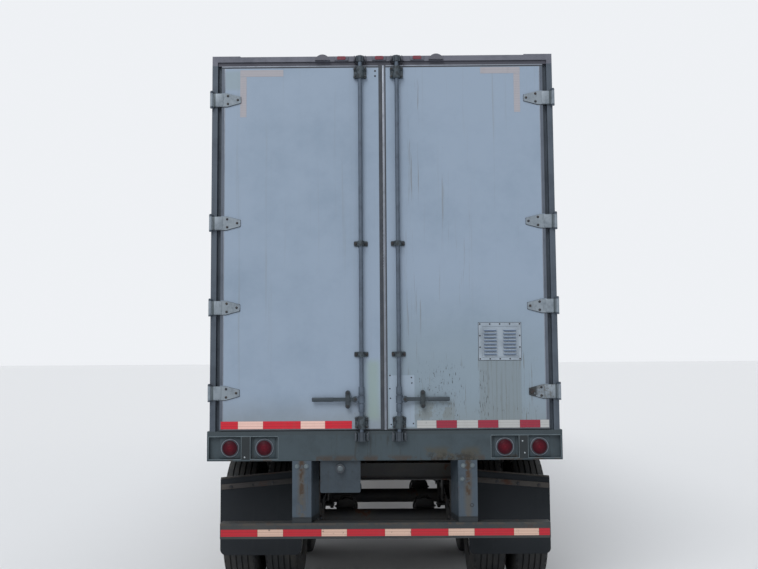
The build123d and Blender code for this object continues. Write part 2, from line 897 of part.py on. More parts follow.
# Underride guard: two folded posts with face plates, and the bar that they carry
guard_bar_top = guard_bar_low + guard_bar_height
with BuildPart() as guard_posts:
    with BuildSketch(Plane.XY.offset(guard_bar_top)):
        with BuildLine():
            Polyline(
                (guard_post_x, rear_y),
                (guard_post_x + guard_post_width, rear_y),
                (guard_post_x + guard_post_width, rear_y + guard_post_depth),
                (guard_post_x - guard_post_flare, rear_y + guard_post_depth),
                close=True,
            )
        make_face()
        offset(amount=-frame_plate, kind=Kind.INTERSECTION, mode=Mode.SUBTRACT)
    extrude(amount=sill_low - guard_bar_top)
    with BuildSketch(across(rear_y)) as face_plate:
        with Locations((guard_post_x + guard_post_width / 2, (guard_face_low + sill_low) / 2)):
            Rectangle(guard_post_width, sill_low - guard_face_low)
        fillet(face_plate.vertices().group_by(Axis.Y)[0], 2 * guard_face_plate)
    extrude(amount=guard_face_plate)
    mirror(about=Plane.YZ)
finish(guard_posts, "guard_posts")

guard_bar_x = rail_x - guard_bar_inset
with BuildPart() as guard_bar:
    block(
        (-guard_bar_x, guard_bar_x),
        (rear_y - guard_face_plate, rear_y + guard_bar_depth),
        (guard_bar_low, guard_bar_top),
    )
    block(
        (-guard_bar_x + frame_plate, guard_bar_x - frame_plate),
        (rear_y - guard_face_plate + frame_plate, rear_y + guard_bar_depth),
        (guard_bar_low + frame_plate, guard_bar_top - frame_plate),
        mode=Mode.SUBTRACT,
    )
finish(guard_bar, "guard_bar")

# Body rails: channels with the holes that the slide's pins drop into
body_rail_end = body_rail_start + body_rail_length
body_rail_mid = beam_under - body_rail_height / 2
hole_ys = places(slide_end + pin_hole_pitch, body_rail_end - pin_hole_pitch, pin_hole_pitch)
with BuildPart() as slider_rails:
    with BuildSketch(across(body_rail_end)):
        with Locations((slide_x, body_rail_mid)):
            Rectangle(2 * slide_half, body_rail_height)
        with Locations((slide_x - slide_plate, body_rail_mid)):
            Rectangle(2 * slide_half, body_rail_height - 2 * slide_plate, mode=Mode.SUBTRACT)
    extrude(amount=body_rail_length)
    with BuildSketch(Plane.YZ.offset(slide_x)):
        with Locations([(y, body_rail_mid) for y in hole_ys]):
            Circle(pin_hole_radius)
    extrude(amount=2 * slide_half, mode=Mode.SUBTRACT)
    mirror(about=Plane.YZ)
finish(slider_rails, "slider_rails")

# Slide frame: two channels joined by three cross channels
cross_ys = places(slide_start + cross_width / 2, slide_end - cross_width / 2, slide_length / 2)
channel_inner_x = slide_x + slide_half - slide_plate
with BuildPart() as slider_frame:
    with BuildSketch(across(slide_end)):
        with Locations((slide_x, (slide_low + body_rail_low) / 2)):
            Rectangle(2 * slide_half, slide_height)
        with Locations((slide_x - slide_plate, (slide_low + body_rail_low) / 2)):
            Rectangle(2 * slide_half, slide_height - 2 * slide_plate, mode=Mode.SUBTRACT)
    extrude(amount=slide_length)
    mirror(about=Plane.YZ)
    with BuildSketch(Plane.YZ.offset(-channel_inner_x)):
        for y in cross_ys:
            with Locations((y, (slide_low + body_rail_low - slide_plate) / 2)):
                Rectangle(cross_width, slide_height - slide_plate)
            with Locations([
                (y + side * (cross_width + slide_plate) / 4, (slide_low + body_rail_low - slide_plate) / 2)
                for side in (-1, 1)
            ]):
                Rectangle(
                    (cross_width - slide_plate) / 2, slide_height - 3 * slide_plate, mode=Mode.SUBTRACT
                )
    extrude(amount=2 * channel_inner_x)
finish(slider_frame, "slider_frame")

# Axles: a round tube that steps down to the spindles, brake flanges and spring seats
flange_x = tube_half - flange_inset
spring_bottom = axle_z + axle_radius + seat_rise
with BuildPart() as axles:
    for y in axle_ys.values():
        bar("X", (0, y, axle_z), axle_radius, 2 * tube_half)
        bar("X", (0, y, axle_z), spindle_radius, 2 * (track_half + spindle_reach))
        for sign in (-1, 1):
            bar("X", (sign * flange_x, y, axle_z), flange_radius, flange_plate)
            block(
                (sign * (slide_x - seat_width / 2), sign * (slide_x + seat_width / 2)),
                (y - seat_half, y + seat_half),
                (axle_z, spring_bottom),
            )
finish(axles, "axles")

# Brakes: a chamber on a bracket ahead of each axle end, with its rod, lever and cam shaft
shaft_end = flange_x - flange_plate / 2
with BuildPart() as brake_chambers:
    for y in axle_ys.values():
        for sign in (-1, 1):
            x = sign * chamber_x
            plate_half = chamber_radius - chamber_band
            block(
                (x - plate_half, x + plate_half),
                (y, y + chamber_reach),
                (axle_z + chamber_rise - chamber_shelf / 2, axle_z + chamber_rise + chamber_shelf / 2),
            )
            block(
                (x - plate_half, x + plate_half),
                (y + chamber_reach - chamber_plate, y + chamber_reach),
                (axle_z + chamber_rise - plate_half, axle_z + chamber_rise + plate_half),
            )
            bar("X", (0, y, axle_z), axle_radius, 2 * tube_half, mode=Mode.SUBTRACT)
            chamber_y = y + chamber_reach + chamber_length / 2
            bar("Y", (x, chamber_y, axle_z + chamber_rise), chamber_radius, chamber_length)
            bar("Y", (x, chamber_y, axle_z + chamber_rise), chamber_radius + chamber_band, 2 * chamber_band)
            block(
                (x - lever_width / 2, x + lever_width / 2),
                (y + cam_shaft_y - lever_width, y + cam_shaft_y + lever_width),
                (axle_z - cam_shaft_drop - lever_width, axle_z + chamber_rise),
            )
            bar(
                "X",
                (sign * (chamber_x + shaft_end) / 2, y + cam_shaft_y, axle_z - cam_shaft_drop),
                cam_shaft_radius,
                shaft_end - chamber_x,
            )
finish(brake_chambers, "brake_chambers")

# Leaf springs on the axle seats, shortest leaf below, with a clamp plate on top
spring_radius = (spring_span / 2) ** 2 / (2 * spring_rise) + spring_rise / 2
spring_top = spring_bottom + leaf_count * leaf_thickness
with BuildPart() as leaf_springs:
    for y in axle_ys.values():
        for leaf in range(leaf_count):
            half = spring_span / 2 - (leaf_count - 1 - leaf) * leaf_step
            turn = math.degrees(math.asin(half / spring_radius))
            centre = (y, spring_bottom + leaf * leaf_thickness + spring_radius)
            with BuildSketch(Plane.YZ.offset(slide_x - spring_width / 2)):
                with BuildLine():
                    lower = CenterArc(centre, spring_radius, 270 - turn, 2 * turn)
                    upper = CenterArc(centre, spring_radius - leaf_thickness, 270 - turn, 2 * turn)
                    Line(lower @ 0, upper @ 0)
                    Line(lower @ 1, upper @ 1)
                make_face()
            extrude(amount=spring_width)
        block(
            (slide_x - spring_width / 2, slide_x + spring_width / 2),
            (y - seat_half, y + seat_half),
            (spring_top - 1, spring_top + clamp_plate),
        )
    mirror(about=Plane.YZ)
finish(leaf_springs, "leaf_springs")

# Hangers of two side plates each: the outer ones press on the springs' tips with a wear pad, and the
# middle one holds an equaliser that rocks on its pin and presses on the tips of both springs
tip_turn = math.asin(spring_span / 2 / spring_radius)
tip_centre = spring_bottom + (leaf_count - 1) * leaf_thickness + spring_radius
tip_top = tip_centre - (spring_radius - leaf_thickness) * math.cos(tip_turn)
pad_z = tip_top + fit_gap
hanger_low = axle_z + hanger_rise
hanger_ys = (
    axle_ys["rear"] - spring_span / 2 - hanger_outboard,
    axle_mid_y,
    axle_ys["front"] + spring_span / 2 + hanger_outboard,
)
with BuildPart() as spring_hangers:
    for y in hanger_ys:
        with BuildSketch(Plane.YZ.offset(slide_x - slide_half)):
            with BuildLine():
                Polyline(
                    (y - hanger_top / 2, slide_low),
                    (y + hanger_top / 2, slide_low),
                    (y + hanger_foot / 2, hanger_low),
                    (y - hanger_foot / 2, hanger_low),
                    close=True,
                )
            make_face()
        extrude(amount=2 * slide_half)
        block(
            (slide_x - pocket_half, slide_x + pocket_half),
            (y - hanger_top / 2, y + hanger_top / 2),
            (hanger_low, slide_low - slide_plate),
            mode=Mode.SUBTRACT,
        )
        if y == axle_mid_y:
            rocker_half = pocket_half - running_gap
            with BuildSketch(Plane.YZ.offset(slide_x - rocker_half)):
                with BuildLine():
                    toe = equaliser_half - equaliser_toe
                    end_z = pad_z + equaliser_end
                    Polyline((y - toe, pad_z), (y - equaliser_half, pad_z), (y - equaliser_half, end_z))
                    ThreePointArc(
                        (y - equaliser_half, end_z),
                        (y, pad_z + equaliser_middle),
                        (y + equaliser_half, end_z),
                    )
                    Polyline((y + equaliser_half, end_z), (y + equaliser_half, pad_z), (y + toe, pad_z))
                    ThreePointArc((y + toe, pad_z), (y, pad_z + equaliser_arch), (y - toe, pad_z))
                make_face()
            extrude(amount=2 * rocker_half)
            pin_z = pad_z + (equaliser_arch + equaliser_middle) / 2
            bar("X", (slide_x, y, pin_z), equaliser_pin, 2 * (slide_half + equaliser_pin_head))
        else:
            block(
                (slide_x - pocket_half, slide_x + pocket_half),
                (y - wear_pad_half, y + wear_pad_half),
                (pad_z, pad_z + wear_pad_height),
            )
    mirror(about=Plane.YZ)
finish(spring_hangers, "spring_hangers")

# Radius rods from the hangers' pins to the axle seats
radius_rod_z = axle_z + radius_rod_rise
with BuildPart() as radius_rods:
    for axle_y, hanger_y in ((axle_ys["rear"], hanger_ys[1]), (axle_ys["front"], hanger_ys[2])):
        seat_y = axle_y + seat_half
        bar("Y", (slide_x, (seat_y + hanger_y) / 2, radius_rod_z), radius_rod_radius, hanger_y - seat_y)
        bar("X", (slide_x, hanger_y, radius_rod_z), radius_rod_eye, 2 * pocket_half - 4 * running_gap)
        bar("X", (slide_x, hanger_y, radius_rod_z), radius_rod_pin, 2 * pocket_half)
    mirror(about=Plane.YZ)
finish(radius_rods, "radius_rods")

# Air tanks slung from a cross plate under the body rails
tank_y = body_rail_end - tank_back
tank_z = body_rail_low - tank_bracket - tank_gap - tank_radius
with BuildPart() as air_tanks:
    for y in (tank_y - tank_spacing / 2, tank_y + tank_spacing / 2):
        bar("X", (0, y, tank_z), tank_radius, tank_length)
    chamfer(edges().filter_by(GeomType.CIRCLE), tank_end)
    block(
        (-slide_x - slide_half, slide_x + slide_half),
        (tank_y - tank_spacing / 2 - tank_strap, tank_y + tank_spacing / 2 + tank_strap),
        (body_rail_low - tank_bracket, body_rail_low),
    )
    for x in (-tank_length / 3, tank_length / 3):
        for y in (tank_y - tank_spacing / 2, tank_y + tank_spacing / 2):
            block(
                (x - tank_strap / 2, x + tank_strap / 2),
                (y - tank_strap, y + tank_strap),
                (tank_z + tank_radius / 2, body_rail_low - tank_bracket / 2),
            )
finish(air_tanks, "air_tanks")

# Bars that reach out from the slide frame, and the mud flaps on them
flap_outer_x = rail_x - flap_outer
flap_inner_x = flap_outer_x - flap_width
flap_front_y = flap_y + flap_thickness
flap_bar_top = body_rail_low - flap_bar_below
with BuildPart() as flap_bars:
    with BuildSketch(across(flap_front_y + flap_bar_depth)):
        with BuildLine():
            Polyline(
                (slide_x + slide_half, flap_bar_top - flap_bar_height),
                (flap_outer_x, flap_bar_top - flap_bar_height - flap_bar_drop),
                (flap_outer_x, flap_bar_top - flap_bar_drop),
                (slide_x + slide_half, flap_bar_top),
                close=True,
            )
        make_face()
    extrude(amount=flap_bar_depth)
    block(
        (slide_x - slide_half, slide_x + slide_half + frame_plate),
        (flap_front_y, slide_start),
        (slide_low, body_rail_low),
    )
    mirror(about=Plane.YZ)
finish(flap_bars, "flap_bars")

with BuildPart() as mud_flaps:
    with BuildSketch(across(flap_front_y)) as flap:
        with BuildLine():
            Polyline(
                (flap_inner_x, flap_low),
                (flap_outer_x, flap_low),
                (flap_outer_x, flap_bar_top - flap_bar_drop - flap_tuck),
                (flap_inner_x, flap_bar_top - flap_tuck),
                close=True,
            )
        make_face()
        fillet(flap.vertices().group_by(Axis.Y)[0], flap_corner)
    extrude(amount=flap_thickness)
    mirror(about=Plane.YZ)
finish(mud_flaps, "mud_flaps")

# Twin wheels: two tyres on one turning assembly of discs, hub and brake drum
half_bead = bead_width / 2
half_tread = tread_width / 2
for name, y in axle_ys.items():
    spin_axis = Axis((0, y, 0), (1, 0, 0))
    for side, sign in (("left", -1), ("right", 1)):
        tyre_xs = [sign * track_half + step * dual_spacing / 2 for step in (-1, 1)]
        with BuildPart() as tyres:
            for x in tyre_xs:
                with BuildSketch(Plane.XY):
                    with BuildLine():
                        wall_y = y + bead_radius + (tyre_radius - bead_radius) * 0.48
                        edge_y = y + tyre_radius - tread_crown - shoulder_drop
                        crown_y = y + tyre_radius - tread_crown
                        edge = half_tread + shoulder_width
                        Line((x - half_bead, y + bead_radius), (x + half_bead, y + bead_radius))
                        for out in (-1, 1):
                            ThreePointArc(
                                (x + out * half_bead, y + bead_radius),
                                (x + out * tyre_width / 2, wall_y),
                                (x + out * edge, edge_y),
                            )
                            Line((x + out * edge, edge_y), (x + out * half_tread, crown_y))
                        ThreePointArc(
                            (x - half_tread, crown_y), (x, y + tyre_radius), (x + half_tread, crown_y)
                        )
                    make_face()
                revolve(axis=spin_axis)
        tyres.part.position = (0, 0, axle_z)
        finish(tyres, f"tyres_{name}_{side}")

        face_x = sign * track_half
        with BuildPart() as wheel_pair:
            for away, x in ((math.copysign(1, x - face_x), x) for x in tyre_xs):
                with BuildSketch(Plane.XY):
                    with BuildLine():
                        Polyline(
                            (x - away * half_bead, y + bead_radius),
                            (x + away * half_bead, y + bead_radius),
                            (x + away * half_bead, y + bead_radius - rim_plate),
                            (x - away * half_bead / 2, y + bead_radius - rim_well),
                            (face_x + away * disc_plate, y + disc_shoulder),
                            (face_x + away * disc_plate, y),
                            (face_x, y),
                            (face_x, y + disc_shoulder + disc_plate),
                            (x - away * half_bead, y + bead_radius - rim_well),
                            close=True,
                        )
                    make_face()
                revolve(axis=spin_axis)
            with BuildSketch(Plane.YZ.offset(face_x - 3 * disc_plate)):
                with Locations((y, 0)):
                    with PolarLocations(disc_shoulder - hand_hole_radius / 2, hand_hole_count):
                        Circle(hand_hole_radius)
            extrude(amount=6 * disc_plate, mode=Mode.SUBTRACT)
            bar("X", (face_x + sign * hub_reach / 2, y, 0), hub_radius, hub_reach)
            bar("X", (face_x - sign * drum_depth / 2, y, 0), drum_radius, drum_depth)
            bar(
                "X",
                (face_x - sign * (drum_web + drum_depth / 2), y, 0),
                drum_radius - drum_wall,
                drum_depth,
                mode=Mode.SUBTRACT,
            )
            bar(
                "X",
                (face_x, y, 0),
                spindle_radius + fit_gap,
                2 * (spindle_reach + hub_cap_depth / 2),
                mode=Mode.SUBTRACT,
            )
            bar("X", (face_x + sign * hub_reach, y, 0), hub_cap_radius, hub_cap_depth)
        wheel_pair.part.position = (0, 0, axle_z)
        finish(wheel_pair, f"wheels_{name}_{side}")

# Coupler plate with its kingpin
pin_steps = (
    # radius, top and foot below the plate
    (kingpin_base, 0, kingpin_base_drop),
    (kingpin_neck, kingpin_base_drop, kingpin_collar_drop),
    (kingpin_collar, kingpin_collar_drop, kingpin_drop),
)
with BuildPart() as coupler:
    with BuildSketch(Plane.XY.offset(coupler_under)) as coupler_plan:
        with Locations((0, nose_y - coupler_inset - coupler_length / 2)):
            Rectangle(coupler_width, coupler_length)
        chamfer(coupler_plan.vertices().group_by(Axis.Y)[-1], coupler_corner)
    extrude(amount=coupler_plate)
    for radius, top, foot in pin_steps:
        bar("Z", (0, kingpin_y, coupler_under - (top + foot) / 2), radius, foot - top)
finish(coupler, "coupler")

# Parking legs: square tubes under mounting plates
with BuildPart() as landing_legs:
    with BuildSketch(Plane.XY.offset(leg_outer_low)):
        with Locations((leg_x, leg_y)):
            Rectangle(leg_outer, leg_outer)
            Rectangle(leg_inner + 2 * fit_gap, leg_inner + 2 * fit_gap, mode=Mode.SUBTRACT)
    extrude(amount=beam_under - leg_outer_low)
    block(
        (leg_x - leg_outer / 2, leg_x + leg_outer / 2),
        (leg_y - leg_mount / 2, leg_y + leg_mount / 2),
        (beam_under - leg_wall, beam_under),
    )
    mirror(about=Plane.YZ)
finish(landing_legs, "landing_legs")

# Feet: the inner tubes on shoes with turned-up ends
foot_half = foot_length / 2
with BuildPart() as landing_feet:
    with BuildSketch(Plane.XY.offset(foot_plate / 2)):
        with Locations((leg_x, leg_y)):
            Rectangle(leg_inner, leg_inner)
    extrude(amount=leg_outer_low + leg_overlap)
    with BuildSketch(Plane.YZ.offset(leg_x - foot_width / 2)):
        with BuildLine():
            Polyline(
                (leg_y - foot_half, foot_rise),
                (leg_y - foot_half + foot_turn, 0),
                (leg_y + foot_half - foot_turn, 0),
                (leg_y + foot_half, foot_rise),
                (leg_y + foot_half, foot_rise + foot_plate),
                (leg_y + foot_half - foot_turn, foot_plate),
                (leg_y - foot_half + foot_turn, foot_plate),
                (leg_y - foot_half, foot_rise + foot_plate),
                close=True,
            )
        make_face()
    extrude(amount=foot_width)
    mirror(about=Plane.YZ)
finish(landing_feet, "landing_feet")

# Braces: a tube and a K between the legs, and one fore and aft of each
brace_run = (leg_mount - leg_outer) / 2
brace_y = leg_y + shaft_radius + brace_half + brace_gap
with BuildPart() as landing_braces:
    block(
        (-brace_inner_x, brace_inner_x),
        (brace_y - brace_half, brace_y + brace_half),
        (brace_low - brace_half, brace_low + brace_half),
    )
    with BuildSketch(across(brace_y + brace_half)):
        with BuildLine():
            Polyline(
                (brace_inner_x, brace_low + brace_half),
                (brace_inner_x, brace_low + brace_half + brace_foot),
                (brace_foot, beam_under),
                (0, beam_under),
                (0, beam_under - brace_foot),
                (brace_inner_x - brace_foot, brace_low + brace_half),
                close=True,
            )
        make_face()
        mirror(about=Plane.YZ)
    extrude(amount=2 * brace_half)
    for sign in (-1, 1):
        for run in (-1, 1):
            near_y = leg_y + run * leg_outer / 2
            with BuildSketch(Plane.YZ.offset(sign * leg_x - brace_half)):
                with BuildLine():
                    Polyline(
                        (near_y, brace_low),
                        (near_y + run * brace_run, beam_under - leg_wall),
                        (near_y + run * (brace_run - brace_foot), beam_under - leg_wall),
                        (near_y, brace_low + brace_foot),
                        close=True,
                    )
                make_face()
            extrude(amount=2 * brace_half)
finish(landing_braces, "landing_braces")

# Gear box on the left leg, cross shaft and folded crank
gear_x = -leg_x - leg_outer / 2
crank_x = gear_x - gear_width - crank_stub
with BuildPart() as landing_crank:
    bar("X", (0, leg_y, shaft_z), shaft_radius, 2 * brace_inner_x)
    with BuildSketch(Plane.YZ.offset(gear_x - gear_width)):
        with Locations((leg_y, shaft_z)):
            RectangleRounded(gear_length, gear_height, gear_length / 4)
    extrude(amount=gear_width)
    bar("X", (gear_x - gear_width - crank_stub / 2, leg_y, shaft_z), shaft_radius, crank_stub)
    with BuildSketch(Plane.YZ.offset(crank_x - shaft_radius)):
        with Locations((leg_y + crank_reach / 2, shaft_z)):
            SlotCenterToCenter(crank_reach, 2 * shaft_radius)
    extrude(amount=2 * shaft_radius)
    bar("X", (crank_x + crank_grip / 2, leg_y + crank_reach, shaft_z), shaft_radius, crank_grip)
finish(landing_crank, "landing_crank")

# Air couplings and the electric socket on the nose
service_face_y = nose_y + service_plate
with BuildPart() as service_panel:
    with BuildSketch(across(service_face_y)):
        with Locations((0, service_z)):
            RectangleRounded(service_width, service_height, service_plate)
    extrude(amount=service_plate + rail_proud)
    for side in (-1, 1):
        x = side * hand_spacing / 2
        bar("Y", (x, service_face_y + hand_reach / 2, service_z), hand_neck, hand_reach)
        with BuildSketch(across(service_face_y + hand_reach + hand_depth)):
            with Locations((x, service_z)):
                Circle(hand_radius)
            with Locations((x - side * hand_arm / 2, service_z)):
                SlotOverall(hand_arm + hand_radius, hand_radius)
        extrude(amount=hand_depth)
    bar("Y", (0, service_face_y + socket_depth / 2, service_z), socket_radius, socket_depth)
    bar(
        "Y",
        (0, service_face_y + socket_depth - socket_bore_depth / 2, service_z),
        socket_bore,
        socket_bore_depth,
        mode=Mode.SUBTRACT,
    )
finish(service_panel, "service_panel")

# Marker lamps along the sides and at the nose's upper corners
marker_z = bottom_rail_low + (bottom_rail_top - bottom_rail_low) / 5
marker_ys = (body_start + marker_size[0] * 5, 0, nose_arc_y - marker_size[0] * 4)
with BuildPart() as marker_lamps:
    with BuildSketch(Plane.YZ.offset(rail_x)):
        with Locations([(y, marker_z) for y in marker_ys]):
            RectangleRounded(*marker_size, marker_size[1] / 3)
    extrude(amount=marker_depth)
    with BuildSketch(across(nose_y + marker_depth)):
        with Locations((rail_x - corner_radius - marker_size[0], roof_under - top_rail_height / 2)):
            RectangleRounded(*marker_size, marker_size[1] / 3)
    extrude(amount=marker_depth)
    mirror(about=Plane.YZ)
finish(marker_lamps, "marker_lamps")
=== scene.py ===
import bpy
import json
import math
from mathutils import Matrix, Vector


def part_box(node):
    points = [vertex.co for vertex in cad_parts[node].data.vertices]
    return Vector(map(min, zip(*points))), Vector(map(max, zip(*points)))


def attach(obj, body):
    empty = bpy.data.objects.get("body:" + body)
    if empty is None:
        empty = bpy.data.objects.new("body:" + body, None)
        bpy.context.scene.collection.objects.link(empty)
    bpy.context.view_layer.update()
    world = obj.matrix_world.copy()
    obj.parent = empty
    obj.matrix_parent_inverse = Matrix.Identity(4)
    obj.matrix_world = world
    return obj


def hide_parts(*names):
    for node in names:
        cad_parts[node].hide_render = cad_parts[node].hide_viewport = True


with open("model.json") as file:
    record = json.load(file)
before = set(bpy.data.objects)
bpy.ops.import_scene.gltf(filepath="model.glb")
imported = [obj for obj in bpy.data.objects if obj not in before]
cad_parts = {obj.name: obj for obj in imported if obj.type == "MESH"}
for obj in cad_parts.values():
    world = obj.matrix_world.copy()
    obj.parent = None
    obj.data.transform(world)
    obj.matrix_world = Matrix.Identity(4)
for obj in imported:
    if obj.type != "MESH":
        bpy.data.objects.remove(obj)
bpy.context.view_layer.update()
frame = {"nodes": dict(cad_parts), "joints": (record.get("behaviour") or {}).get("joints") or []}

nodes = frame["nodes"]
joints = {joint["name"]: joint for joint in frame["joints"]}
sides = {"left": -1, "right": 1}
axles = ("rear", "front")
print("frame loaded:", len(nodes), "nodes")


# Places that several pieces share, in metres, most of them read from the frame

def edgeOf(node, end, axis):  # where a node starts (0) or ends (1) along X, Y or Z
    return round(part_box(node)[end]["XYZ".index(axis)], 5)


doorFace = edgeOf("door_left_panel", 0, "Y")
ventFace = doorFace - 0.004  # the vent's plate
strapFace = doorFace - 0.008  # the hinges' straps
sillFace = doorFace + 0.006  # the sill's and the header's sheets
guardFace = edgeOf("guard_bar", 0, "Y")
flapFace = edgeOf("mud_flaps", 0, "Y")
wallFace = edgeOf("side_walls", 1, "X")
noseFace = edgeOf("front_wall", 1, "Y")
roofTop = edgeOf("roof_sheet", 1, "Z")
floorSide, floorFront, floorTop = (edgeOf("floor_deck", 1, axis) for axis in "XYZ")
lockXs = {"left": -0.165, "right": 0.109}  # middles of the lock rods
wheelPairs = []  # body, ending of its pieces' names, sign of its side, middle of its two tyres
for axle in axles:
    for side, sign in sides.items():
        body = "wheels_" + axle + "_" + side
        wheelPairs.append((body, axle.title() + side.title(), sign, joints[body + "_spin"]["pos_m"]))
axleYs = [joints["wheels_" + axle + "_left_spin"]["pos_m"][1] for axle in axles]
axleZ = wheelPairs[0][3][2]


# Selecting, placing and shaping

def clearSelection():
    if bpy.context.object and bpy.context.object.mode != "OBJECT":
        bpy.ops.object.mode_set(mode="OBJECT")
    bpy.ops.object.select_all(action="DESELECT")


def grab(*pieces):
    clearSelection()
    for piece in pieces:
        piece.select_set(True)
    bpy.context.view_layer.objects.active = pieces[0]


def settlePlace(piece):  # puts the object at the origin and its place in its mesh
    grab(piece)
    bpy.ops.object.transform_apply(location=True, rotation=True, scale=True)
    return piece


def pick(piece, kind, test):  # goes to edit mode with what passes the test selected
    grab(piece)
    bpy.ops.object.mode_set(mode="EDIT")
    bpy.context.tool_settings.mesh_select_mode = (kind == "VERT", kind == "EDGE", kind == "FACE")
    bpy.ops.mesh.select_all(action="DESELECT")
    bpy.ops.object.mode_set(mode="OBJECT")
    mesh = piece.data
    found = {"VERT": mesh.vertices, "EDGE": mesh.edges, "FACE": mesh.polygons}[kind]
    for item in found:
        item.select = bool(test(item))
    bpy.ops.object.mode_set(mode="EDIT")


def leaveEdit():
    bpy.ops.object.mode_set(mode="OBJECT")


def runModifier(piece, kind, **settings):
    grab(piece)
    modifier = piece.modifiers.new(kind.title(), kind)
    for key, value in settings.items():
        setattr(modifier, key, value)
    bpy.ops.object.modifier_apply(modifier=modifier.name)
    return piece


def softenEdges(piece, width, segments=2, angle=30):
    return runModifier(piece, "BEVEL", width=width, segments=segments, limit_method="ANGLE",
                       angle_limit=math.radians(angle))


def addBlock(low, high):
    clearSelection()
    middle = [(a + b) / 2 for a, b in zip(low, high)]
    bpy.ops.mesh.primitive_cube_add(size=1, location=middle)
    piece = bpy.context.object
    piece.scale = [abs(b - a) for a, b in zip(low, high)]
    return settlePlace(piece)


def addBarrel(centre, radius, length, along="Z", sides=24):
    clearSelection()
    turn = {"X": (0, math.pi / 2, 0), "Y": (math.pi / 2, 0, 0), "Z": (0, 0, 0)}[along]
    bpy.ops.mesh.primitive_cylinder_add(vertices=sides, radius=radius, depth=length, location=centre,
                                        rotation=turn)
    return settlePlace(bpy.context.object)


def spinOutline(points, centre, along="X", steps=48):  # points are (place along the axis, radius)
    clearSelection()
    places = {
        "X": lambda a, r: Vector((centre[0] + a, centre[1], centre[2] + r)),
        "Y": lambda a, r: Vector((centre[0], centre[1] + a, centre[2] + r)),
        "Z": lambda a, r: Vector((centre[0] + r, centre[1], centre[2] + a)),
    }[along]
    outline = [places(a, r) for a, r in points]
    bpy.ops.mesh.primitive_plane_add(size=0.01, location=(0, 0, 0))
    piece = bpy.context.object
    bpy.ops.object.mode_set(mode="EDIT")
    bpy.context.tool_settings.mesh_select_mode = (True, False, False)
    bpy.ops.mesh.select_all(action="SELECT")
    bpy.ops.mesh.merge(type="CENTER")
    bpy.ops.transform.translate(value=outline[0])
    for here, there in zip(outline, outline[1:]):
        bpy.ops.mesh.extrude_region_move(TRANSFORM_OT_translate={"value": there - here})
    bpy.ops.mesh.select_all(action="SELECT")
    axis = {"X": (1, 0, 0), "Y": (0, 1, 0), "Z": (0, 0, 1)}[along]
    bpy.ops.mesh.spin(steps=steps, dupli=False, angle=2 * math.pi, center=centre, axis=axis)
    bpy.ops.mesh.select_all(action="SELECT")
    bpy.ops.mesh.remove_doubles(threshold=0.00005)
    bpy.ops.mesh.normals_make_consistent(inside=False)
    leaveEdit()
    return piece


def copyTo(master, moves):  # the master stays at the first place, and each copy has its own mesh
    made = [master]
    for move in moves:
        grab(master)
        bpy.ops.object.duplicate(linked=False)
        copy = bpy.context.object
        copy.location = move
        made.append(settlePlace(copy))
    return joinAll(made)


def joinAll(pieces):
    if len(pieces) > 1:
        grab(*pieces)
        bpy.ops.object.join()
    return pieces[0]


def mirrorAcross(piece):  # adds the other side of the trailer to the same mesh
    return runModifier(piece, "MIRROR", use_axis=(True, False, False), use_mirror_merge=False, use_clip=False)


def repeat(piece, count, step):
    return runModifier(piece, "ARRAY", count=count, use_relative_offset=False, use_constant_offset=True,
                       constant_offset_displace=step)


def handOver(piece, name, body, *materials, slot=None, smooth=35):
    piece.name = name
    piece.data.name = name
    piece.data.materials.clear()
    for material in materials:
        piece.data.materials.append(material)
    grab(piece)
    bpy.ops.object.shade_smooth_by_angle(angle=math.radians(smooth))
    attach(piece, body)
    return piece


# Node helpers and the shared effects

def srgb(colour):  # a written colour of three numbers up to 255, as Blender's own
    parts = [value / 255 for value in colour]
    straight = [part / 12.92 if part <= 0.04045 else ((part + 0.055) / 1.055) ** 2.4 for part in parts]
    return (*straight, 1)


def feed(tree, socket, value):
    if isinstance(value, bpy.types.NodeSocket):
        tree.links.new(value, socket)
    else:
        socket.default_value = value


def addNode(tree, kind, settings=None, **inputs):
    node = tree.nodes.new(kind)
    for key, value in (settings or {}).items():
        setattr(node, key, value)
    for key, value in inputs.items():
        feed(tree, node.inputs[key.replace("_", " ")], value)
    return node


def work(tree, operation, first, second=0.5, clamp=False):
    node = tree.nodes.new("ShaderNodeMath")
    node.operation = operation
    node.use_clamp = clamp
    feed(tree, node.inputs[0], first)
    feed(tree, node.inputs[1], second)
    return node.outputs[0]


def lift(tree, mask, amount, base, clamp=False):  # base, raised by amount where the mask is full
    return work(tree, "ADD", work(tree, "MULTIPLY", mask, amount), base, clamp)


def lengthOf(tree, first, second):
    squares = [work(tree, "MULTIPLY", side, side) for side in (first, second)]
    return work(tree, "SQRT", work(tree, "ADD", *squares))


def axisOf(tree, vector, axis):
    return addNode(tree, "ShaderNodeSeparateXYZ", Vector=vector).outputs[axis]


def blendColour(tree, mask, first, second, amount=None):  # colours are sockets or written colours
    if amount is not None:
        mask = work(tree, "MULTIPLY", mask, amount)
    node = addNode(tree, "ShaderNodeMix", {"data_type": "RGBA"})
    feed(tree, node.inputs[0], mask)
    for index, colour in ((6, first), (7, second)):
        feed(tree, node.inputs[index], srgb(colour) if isinstance(colour, tuple) else colour)
    return node.outputs[2]


def span(tree, value, low, high, first=0.0, last=1.0):
    node = addNode(tree, "ShaderNodeMapRange", {"interpolation_type": "SMOOTHSTEP"})
    for index, item in enumerate((value, low, high, first, last)):
        feed(tree, node.inputs[index], item)
    return node.outputs[0]


